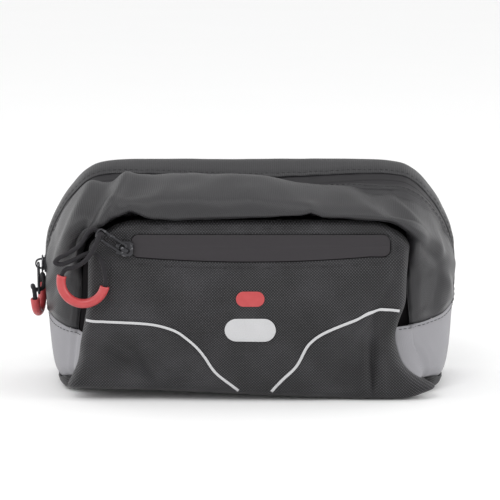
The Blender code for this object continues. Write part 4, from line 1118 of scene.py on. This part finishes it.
def make_base():
    # It starts past the turn at its back edge, where the surface would fold over itself
    sections = np.linspace(0.8, RIM_SECTION, 130)
    halves = []
    for side in (-1, 1):
        low = turn_up_arch(side, sections) + GAP / 2 / ARCH_LENGTH
        share = np.linspace(0, 1, 22)
        arches = low[:, None] + (1 - low[:, None]) * share[None, :]
        halves.append(side_point(side * arches, sections[:, None]))
    left, right = halves[0][:, -1], halves[1][:, -1]
    across = np.linspace(0, 1, 82)[1:-1]
    middle = left[:, None] + (right - left)[:, None] * across[None, :, None]
    grid = np.concatenate([halves[0], middle, halves[1][:, ::-1]], axis=1)
    outward = point(grid[..., 0] * 0.2, 0 * grid[..., 0], -1 + 0 * grid[..., 0])
    cloth_piece("base_cloth", grid, outward, RIPSTOP, ("base_panel",), BODY_SHEET)


# Pocket

def slot_core(x, z):
    """Nearest point of the slot's middle part, which ends at the centres of its round corners."""
    radius = SLOT["radius"]
    return (np.clip(x, SLOT["left"] + radius, SLOT["right"] - radius),
            np.clip(z, SLOT["bottom"] + radius, SLOT["top"] - radius))


def snap_to_slot(x, z):
    """Nearest point on the slot's rounded outline."""
    radius = SLOT["radius"]
    cx, cz = slot_core(x, z)
    dx, dz = x - cx, z - cz
    away = np.hypot(dx, dz)
    inside = away < 1e-9
    up = np.where(z > (SLOT["bottom"] + SLOT["top"]) / 2, 1.0, -1.0)
    dx = np.where(inside, 0, dx / np.maximum(away, 1e-9))
    dz = np.where(inside, up, dz / np.maximum(away, 1e-9))
    return cx + dx * radius, cz + dz * radius


def slot_distance(x, z):
    """Distance outside the slot's outline, negative inside it."""
    cx, cz = slot_core(x, z)
    return np.hypot(x - cx, z - cz) - SLOT["radius"]


def make_pocket():
    top = POCKET_HEIGHT * RIM_TOP
    near = EDGE_RADIUS * (1 - np.cos(np.linspace(0, math.pi / 2, 9)))
    zs = np.concatenate([near, np.linspace(EDGE_RADIUS, top - EDGE_RADIUS, 92)[1:-1], top - near[::-1]])
    rows = []
    for z in zs:
        share = np.array([z / POCKET_HEIGHT])
        left, right = (panel_half(share, side)[0] for side in ("left", "right"))
        middle = np.linspace(EDGE_RADIUS - left, right - EDGE_RADIUS, 190)[1:-1]
        rows.append(np.concatenate([near - left, middle, right - near[::-1]]))
    x = np.array(rows)
    z = np.broadcast_to(zs[:, None], x.shape)
    keep = slot_distance((x[:-1, :-1] + x[1:, 1:]) / 2, (z[:-1, :-1] + z[1:, 1:]) / 2) > 0
    # Points on the border of the hole move on to the outline
    near_kept, near_cut = np.zeros(x.shape, bool), np.zeros(x.shape, bool)
    for di in (0, 1):
        for dj in (0, 1):
            near_kept[di:di + keep.shape[0], dj:dj + keep.shape[1]] |= keep
            near_cut[di:di + keep.shape[0], dj:dj + keep.shape[1]] |= ~keep
    border = near_kept & near_cut
    sx, sz = snap_to_slot(x, z)
    x, z = np.where(border, sx, x), np.where(border, sz, z)
    grid = panel_point(x, z)
    away = np.maximum(slot_distance(x, z), 0)
    rise = (ripple(grid, 0.28 * MM) + 0.5 * MM) * smooth(0, 8 * MM, away)
    rise += 0.22 * MM * puckers(x, 41, 14 * MM) * hump(away, 4 * MM, 7 * MM) * smooth(0, 4 * MM, away)
    rise += 0.35 * MM * puckers(z, 43, 18 * MM) * hump(np.abs(x), 80 * MM, 9 * MM)
    # The sewn edge of the slot: a raised hem, its turned edge and the line of its stitches
    rise += 0.35 * MM * hump(away, 1.6 * MM, 1.0 * MM)
    rise -= 0.30 * MM * hump(away, 0, 0.5 * MM)
    rise -= 0.25 * MM * hump(away, 3.4 * MM, 0.5 * MM)
    edge = np.minimum(panel_reach(x, z) - np.abs(x), np.minimum(z, top - z))
    rise = rise * smooth(0, 4 * MM, edge)
    grid = grid + panel_normal(x, z) * rise[..., None]
    cloth_piece("pocket_cloth", grid, FORWARDS, RIPSTOP, ("pocket_panel",), POCKET_SHEET,
                keep=keep, uvs=np.stack([x, z], axis=-1))


def make_pocket_zip():
    left, right = SLOT["left"] + GAP, SLOT["right"] - GAP
    radius = SLOT["radius"] - GAP
    middle = (SLOT["top"] + SLOT["bottom"]) / 2
    half = (SLOT["top"] - SLOT["bottom"]) / 2 - GAP
    ends = radius * (1 - np.cos(np.radians(np.linspace(2, 90, 10))))
    straight = np.linspace(left + radius, right - radius, 130)[1:-1]
    xs = np.concatenate([left + ends, straight, right - ends[::-1]])
    share = np.linspace(-1, 1, 41)[:, None]
    part = 1 - np.clip(np.minimum(xs - left, right - xs) / radius, 0, 1)
    reach = half - radius * (1 - np.sqrt(np.maximum(1 - part * part, 0)))
    offset = share * reach[None, :]
    x, z = np.broadcast_to(xs[None, :], offset.shape), middle + offset
    normal = panel_normal(x, z)
    grid = panel_point(x, z) + normal * (-ZIP_RECESS)
    rise = 0.25 * MM * (1 - share ** 2) - 0.16 * MM * hump(offset, 0.2 * MM, 0.30 * MM)
    grid = grid + normal * (rise + ripple(grid, 0.08 * MM))[..., None]
    cloth_piece("pocket_zip_film", grid, FORWARDS, FILM_MATERIAL, ("pocket_zip",), SLOT_SHEET,
                uvs=np.stack([x, z], axis=-1))


def make_pocket_side():
    """The pocket's side wall, straight back from the rim and then in towards the body's seam."""
    under_patch = 0.012
    arches = np.linspace(-LEFT_PATCH - under_patch, RIGHT_PATCH + under_patch, 220)
    seam = body_plain(arches, SEAM)
    drawn = 1 - 2 * GAP / abs(body_plain(0.6, SEAM)[0])
    seam = point(seam[:, 0] * drawn, seam[:, 1] + 1.0 * MM, seam[:, 2] - GAP)
    rim = rim_point(arches)
    rows = []
    for share in np.linspace(0, 0.965, 34):
        row = seam + (rim - seam) * smooth(0, 0.25, share)
        row[:, 1] = seam[:, 1] + (rim[:, 1] - seam[:, 1]) * share
        rows.append(row)
    grid = np.array(rows)
    outward = point(grid[..., 0], 0 * grid[..., 0], grid[..., 2])
    # Its near-black colour is the wall's own black cloth plus painted shade for the gap
    cloth_piece("pocket_side_cloth", grid, outward, BLACK_SIDE_WITH_PAINTED_SHADE, ("pocket_gusset",),
                POCKET_SHEET)


# Trim on the pocket

def ribbon(name, centre, widths, material, replaces, crown=0.15 * MM):
    """Strip that lies on the pocket, slightly crowned, with soft edges."""
    centre = np.array(centre)
    along = unit(np.gradient(centre, axis=0))
    side = np.stack([-along[:, 1], along[:, 0]], axis=1)
    share = np.sin(np.linspace(-math.pi / 2, math.pi / 2, 11))
    half = np.asarray(widths)[:, None] / 2 * share[None, :]
    x = centre[:, 0:1] + side[:, 0:1] * half
    z = centre[:, 1:2] + side[:, 1:2] * half
    lift = TRIM_GAP + TRIM_THICKNESS - crown + crown * np.sqrt(np.maximum(1 - share ** 4, 0))
    grid = panel_point(x, z) + panel_normal(x, z) * lift[None, :, None]
    along = np.broadcast_to(np.linspace(0, 0.1, len(centre))[:, None], half.shape)
    cloth_piece(name, grid, FORWARDS, material, replaces, TRIM_THICKNESS,
                uvs=np.stack([half, along], axis=-1))


def stripe(name, table, replaces):
    table = np.array(table)
    p = np.linspace(0, len(table) - 1, 160)
    x, z = through(table[:, 0], p) * POCKET_WIDTH, through(table[:, 1], p) * POCKET_HEIGHT
    centre = np.stack([x, z], axis=1)
    widths = np.full(len(centre), STRIPE_WIDTH - 0.4 * MM)
    ribbon(name, centre, widths, REFLECTIVE, replaces)


def bar(name, z, width, height, material, replaces):
    """Flat plate with round ends that lies on the pocket."""
    radius = height / 2
    half = width / 2 - radius
    turns = np.linspace(0, math.tau, 97)
    across = radius * np.cos(turns) + half * np.clip(np.cos(turns) * 12, -1, 1)
    outline = np.stack([across, radius * np.sin(turns)], axis=1)
    shares = np.concatenate([np.linspace(0, 0.9, 12), [0.95, 0.98, 1.0]])
    dots = outline[None] * shares[:, None, None]
    x, z = dots[..., 0], dots[..., 1] + z
    lift = TRIM_GAP + TRIM_THICKNESS - 0.15 * MM * smooth(0.9, 1, shares)
    grid = panel_point(x, z) + panel_normal(x, z) * lift[:, None, None]
    cloth_piece(name, grid, FORWARDS, material, replaces, TRIM_THICKNESS,
                uvs=np.stack([x, z], axis=-1))


# Stitches

def stitches(name, rows, lift, pitch=3.0 * MM, long=2.0 * MM):
    """Short rounded threads along rows, each given by its points, their normals and its thickness."""
    sides = 6
    lengthwise = np.array([-0.5, -0.38, 0, 0.38, 0.5])
    swell = np.array([0.35, 0.85, 1.0, 0.85, 0.35])
    dips = np.array([-0.16, 0.0, 0.04, 0.0, -0.16]) * MM
    verts, faces = [], []
    for line, normal, thick in rows:
        along = lengths_along(line)
        for k in range(int(along[-1] / pitch)):
            places = (k + 0.5) * pitch + long * lengthwise
            dots = read_along(line, along, places)
            up = unit(read_along(normal, along, places))
            side = np.cross(unit(np.gradient(dots, axis=0)), up)
            start = len(verts)
            for dot, u, s, radius, dip in zip(dots, up, side, thick / 2 * swell, dips):
                for t in np.arange(sides) * math.tau / sides:
                    verts.append(dot + u * (lift + dip + radius * math.sin(t)) + s * radius * math.cos(t))
            faces.extend(tuple(start + corner for corner in face) for face in tube_faces(len(dots), sides))
    solid_piece(name, np.array(verts), faces, THREAD)


def panel_line(dots):
    dots = np.array(dots)
    return panel_point(dots[:, 0], dots[:, 1]), panel_normal(dots[:, 0], dots[:, 1])


def round_slot(grow, count=260):
    """Points round the slot at a distance outside it."""
    radius = SLOT["radius"] + grow
    left, right = SLOT["left"] - grow, SLOT["right"] + grow
    bottom, top = SLOT["bottom"] - grow, SLOT["top"] + grow
    dots = []
    for cx, cz, start in ((right - radius, top - radius, 0), (left + radius, top - radius, 90),
                          (left + radius, bottom + radius, 180), (right - radius, bottom + radius, 270)):
        for angle in np.linspace(start, start + 90, 10):
            t = math.radians(angle)
            dots.append((cx + radius * math.cos(t), cz + radius * math.sin(t)))
    dots.append(dots[0])
    dots = np.array(dots)
    along = lengths_along(dots)
    even = np.linspace(0, along[-1], count)
    return read_along(dots, along, even)


def grid_line(grid, row=None, column=None):
    normal = outward_normals(grid)
    return (grid[row], normal[row]) if row is not None else (grid[:, column], normal[:, column])


def nearest_index(values, wanted):
    return int(np.argmin(np.abs(values - wanted)))


# Straps and back

def strap_profile():
    leg = BACK_Y + GAP
    middle = leg + STRAP_THICKNESS + BAR_BORE
    inner = [(leg + STRAP_THICKNESS, z) for z in (STRAP_TAB_BOTTOM, 60 * MM, 70 * MM, 78 * MM)]
    inner += [
        (middle - BAR_BORE * math.cos(t), BAR_Z + BAR_BORE * math.sin(t))
        for t in np.radians(np.linspace(0, 250, 22))
    ]
    tail = leg + 2 * STRAP_THICKNESS + GAP
    last, finish = inner[-1], (tail, STRAP_TAB_BOTTOM + 4 * MM)
    corner = (last[0] - 5.5 * MM, last[1] - 2.2 * MM)
    bend = (tail, finish[1] + 8 * MM)
    t = np.linspace(0.2, 1, 6)[:, None]
    k = 1 - t
    tail_line = [share * np.array(dot) for share, dot in (
        (k ** 3, last), (3 * k * k * t, corner), (3 * k * t * t, bend), (t ** 3, finish))]
    return np.concatenate([inner, sum(tail_line)]), middle


def make_strap(name, x, replaces):
    inner, middle = strap_profile()
    line = dense(np.column_stack([0 * inner[:, 0], inner]), 0.8 * MM)[:, 1:]
    share = np.linspace(-1, 1, 33)
    along = unit(np.gradient(line, axis=0))
    normal = np.stack([along[:, 1], -along[:, 0]], axis=1)
    towards = np.stack([middle - line[:, 0], BAR_Z - line[:, 1]], axis=1)
    if (normal * towards).sum() < 0:
        normal = -normal
    soft = -0.12 * MM * share ** 8
    y = line[:, 0:1] + normal[:, 0:1] * soft[None, :]
    z = line[:, 1:2] + normal[:, 1:2] * soft[None, :]
    xs = x + share * STRAP_WIDTH / 2
    grid = point(xs[None, :] + 0 * y, y, z)
    towards = point(0 * y, middle - y, BAR_Z - z)
    cloth_piece(name, grid, towards, WEBBING, replaces, STRAP_THICKNESS - 0.1 * MM)


def make_back():
    arches = np.concatenate([
        np.linspace(-1, -LEFT_PATCH, 30, endpoint=False), upper_shares(0, 200)[:-1],
        np.linspace(RIGHT_PATCH, 1, 30)])
    rim = body_plain(arches, 0)
    inward = unit(np.stack([
        np.gradient(rim[:, 2]), 0 * arches, -np.gradient(rim[:, 0])], axis=1))
    centre = np.array([0, BACK_Y, 52 * MM])
    if ((centre - rim) * inward).sum() < 0:
        inward = -inward
    rim = rim + inward * GAP
    rim[:, 1] = BACK_Y
    rim[:, 2] = np.maximum(rim[:, 2], CLOTH + GAP)
    foot = np.linspace(rim[-1], rim[0], 60)[1:-1]
    ring = np.concatenate([rim, foot, rim[:1]])
    shares = np.concatenate([np.linspace(0, 0.86, 46), np.linspace(0.88, 1, 14)])
    grid = centre + (ring - centre)[None] * shares[:, None, None]
    x, z = grid[..., 0], grid[..., 2]
    edge = (1 - shares)[:, None] * np.linalg.norm(ring - centre, axis=1)[None]
    dip = 0.8 * MM * hump(edge, 0, 1.4 * MM)
    for line_z in (24 * MM, 44 * MM):
        dip = dip + 0.5 * MM * hump(z, line_z, 1.1 * MM) * smooth(0, 10 * MM, edge)
    dip = dip + 0.18 * MM + ripple(grid, 0.05 * MM)
    grid[..., 1] -= np.maximum(dip, 0.02 * MM)
    cloth_piece("back_cloth", grid, BACKWARDS, COATED, ("back_panel",), POCKET_SHEET,
                uvs=np.stack([x, z], axis=-1))


front_grid, rear_grid = make_body()
left_corner = make_corner("corner_cloth_left", -1, ("corner_patch_left",))
right_corner = make_corner("corner_cloth_right", 1, ("corner_patch_right",))
make_base()
make_pocket()
make_pocket_zip()
make_pocket_side()
stripe("stripe_left", LEFT_STRIPE, ("reflective_stripe_left",))
stripe("stripe_right", RIGHT_STRIPE, ("reflective_stripe_right",))
bar("mark_bar", MARK_Z, MARK_WIDTH, MARK_HEIGHT, REFLECTIVE, ("reflective_bar",))
bar("accent_mark", MARK_Z + MARK_SPACING, ACCENT_WIDTH, ACCENT_HEIGHT, RUBBER,
    ("accent_bar",))
make_strap("strap_loop_left", -STRAP_SPACING / 2, ("strap_left",))
make_strap("strap_loop_right", STRAP_SPACING / 2, ("strap_right",))
make_back()

for slot_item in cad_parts["pocket_divider"].material_slots:
    slot_item.material = LINING


def make_stitches():
    thread_size = 0.4 * MM
    around = panel_line(round_slot(3.4 * MM))
    stitches("stitches_pocket", [(*around, thread_size)], 0.04 * MM, 2.6 * MM, 1.9 * MM)
    # Under the top edge of the corner panels, at a distance measured half way along
    rows = []
    for grid in (lifted(left_corner), lifted(right_corner)):
        column = nearest_index(lengths_of(grid)[0][len(grid) // 2], 2.6 * MM)
        rows.append((*grid_line(grid, column=column), thread_size))
    stitches("stitches_corners", rows, 0.12 * MM)
    # Along both edges of the back strip and the front cloth's hem, measured at a column near the top
    rear, front = lengths_of(rear_grid)[1][:, 130], lengths_of(front_grid)[1][:, 150]
    rows = [
        (*grid_line(lifted(rear_grid), row=nearest_index(rear[-1] - rear, 2.4 * MM)), 0.3 * MM),
        (*grid_line(lifted(rear_grid), row=nearest_index(rear, 2.4 * MM)), 0.3 * MM),
        (*grid_line(lifted(front_grid), row=nearest_index(front, 2.2 * MM)), 0.34 * MM),
    ]
    stitches("stitches_body", rows, 0.0)
    # Across the sewn tabs of the straps
    rows = []
    outer = BACK_Y + GAP + STRAP_THICKNESS
    for x in (-STRAP_SPACING / 2, STRAP_SPACING / 2):
        for z in (STRAP_TAB_BOTTOM + 1.5 * MM, STRAP_TAB_BOTTOM + 3.4 * MM):
            line = np.linspace((x - 10.5 * MM, outer, z), (x + 10.5 * MM, outer, z), 12)
            rows.append((line, np.tile(BACKWARDS, (len(line), 1)), thread_size))
    stitches("stitches_straps", rows, 0.06 * MM)


make_stitches()


# Floor and light

def floor():
    bpy.ops.mesh.primitive_plane_add(size=24, location=(0, 0, -0.0002))
    item = bpy.context.object
    item.name = "floor"
    nodes = Nodes("Floor", (0.92, 0.92, 0.92), 0.9, uv=None)
    nodes.tint(nodes.noise(6, 2), (0.915, 0.915, 0.915), (0.925, 0.925, 0.925))
    nodes.specular(0.1)
    item.data.materials.append(nodes.made)


def area(name, location, size, power, target=(0, 0, 0.06)):
    light = bpy.data.lights.new(name, "AREA")
    light.shape = "RECTANGLE"
    light.size, light.size_y = size
    light.energy = power
    item = bpy.data.objects.new(name, light)
    item.location = location
    item.rotation_euler = (Vector(target) - Vector(location)).to_track_quat("-Z", "Y").to_euler()
    bpy.context.scene.collection.objects.link(item)


def studio():
    """White surroundings that are brighter at both sides than in front, and three soft lamps."""
    world = bpy.data.worlds.new("Studio")
    world.use_nodes = True
    tree = world.node_tree
    background = tree.nodes["Background"]
    background.inputs[0].default_value = (1, 1, 1, 1)
    source = tree.nodes.new("ShaderNodeTexCoord")
    split = tree.nodes.new("ShaderNodeSeparateXYZ")
    squared = tree.nodes.new("ShaderNodeMath")
    squared.operation = "MULTIPLY"
    strength = tree.nodes.new("ShaderNodeMath")
    strength.operation = "MULTIPLY_ADD"
    strength.inputs[1].default_value = SIDE_LIGHT
    strength.inputs[2].default_value = FRONT_LIGHT
    for output, socket in (
        (source.outputs["Generated"], split.inputs[0]), (split.outputs[0], squared.inputs[0]),
        (split.outputs[0], squared.inputs[1]), (squared.outputs[0], strength.inputs[0]),
        (strength.outputs[0], background.inputs[1]),
    ):
        tree.links.new(output, socket)
    bpy.context.scene.world = world
    area("Key", (-0.4, -1.0, 1.2), (0.8, 0.6), 6)
    area("Top", (0.1, 0.2, 1.3), (1.0, 0.8), 1.5)
    area("Right", (1.1, -0.4, 0.6), (0.5, 0.7), 2)


floor()
studio()
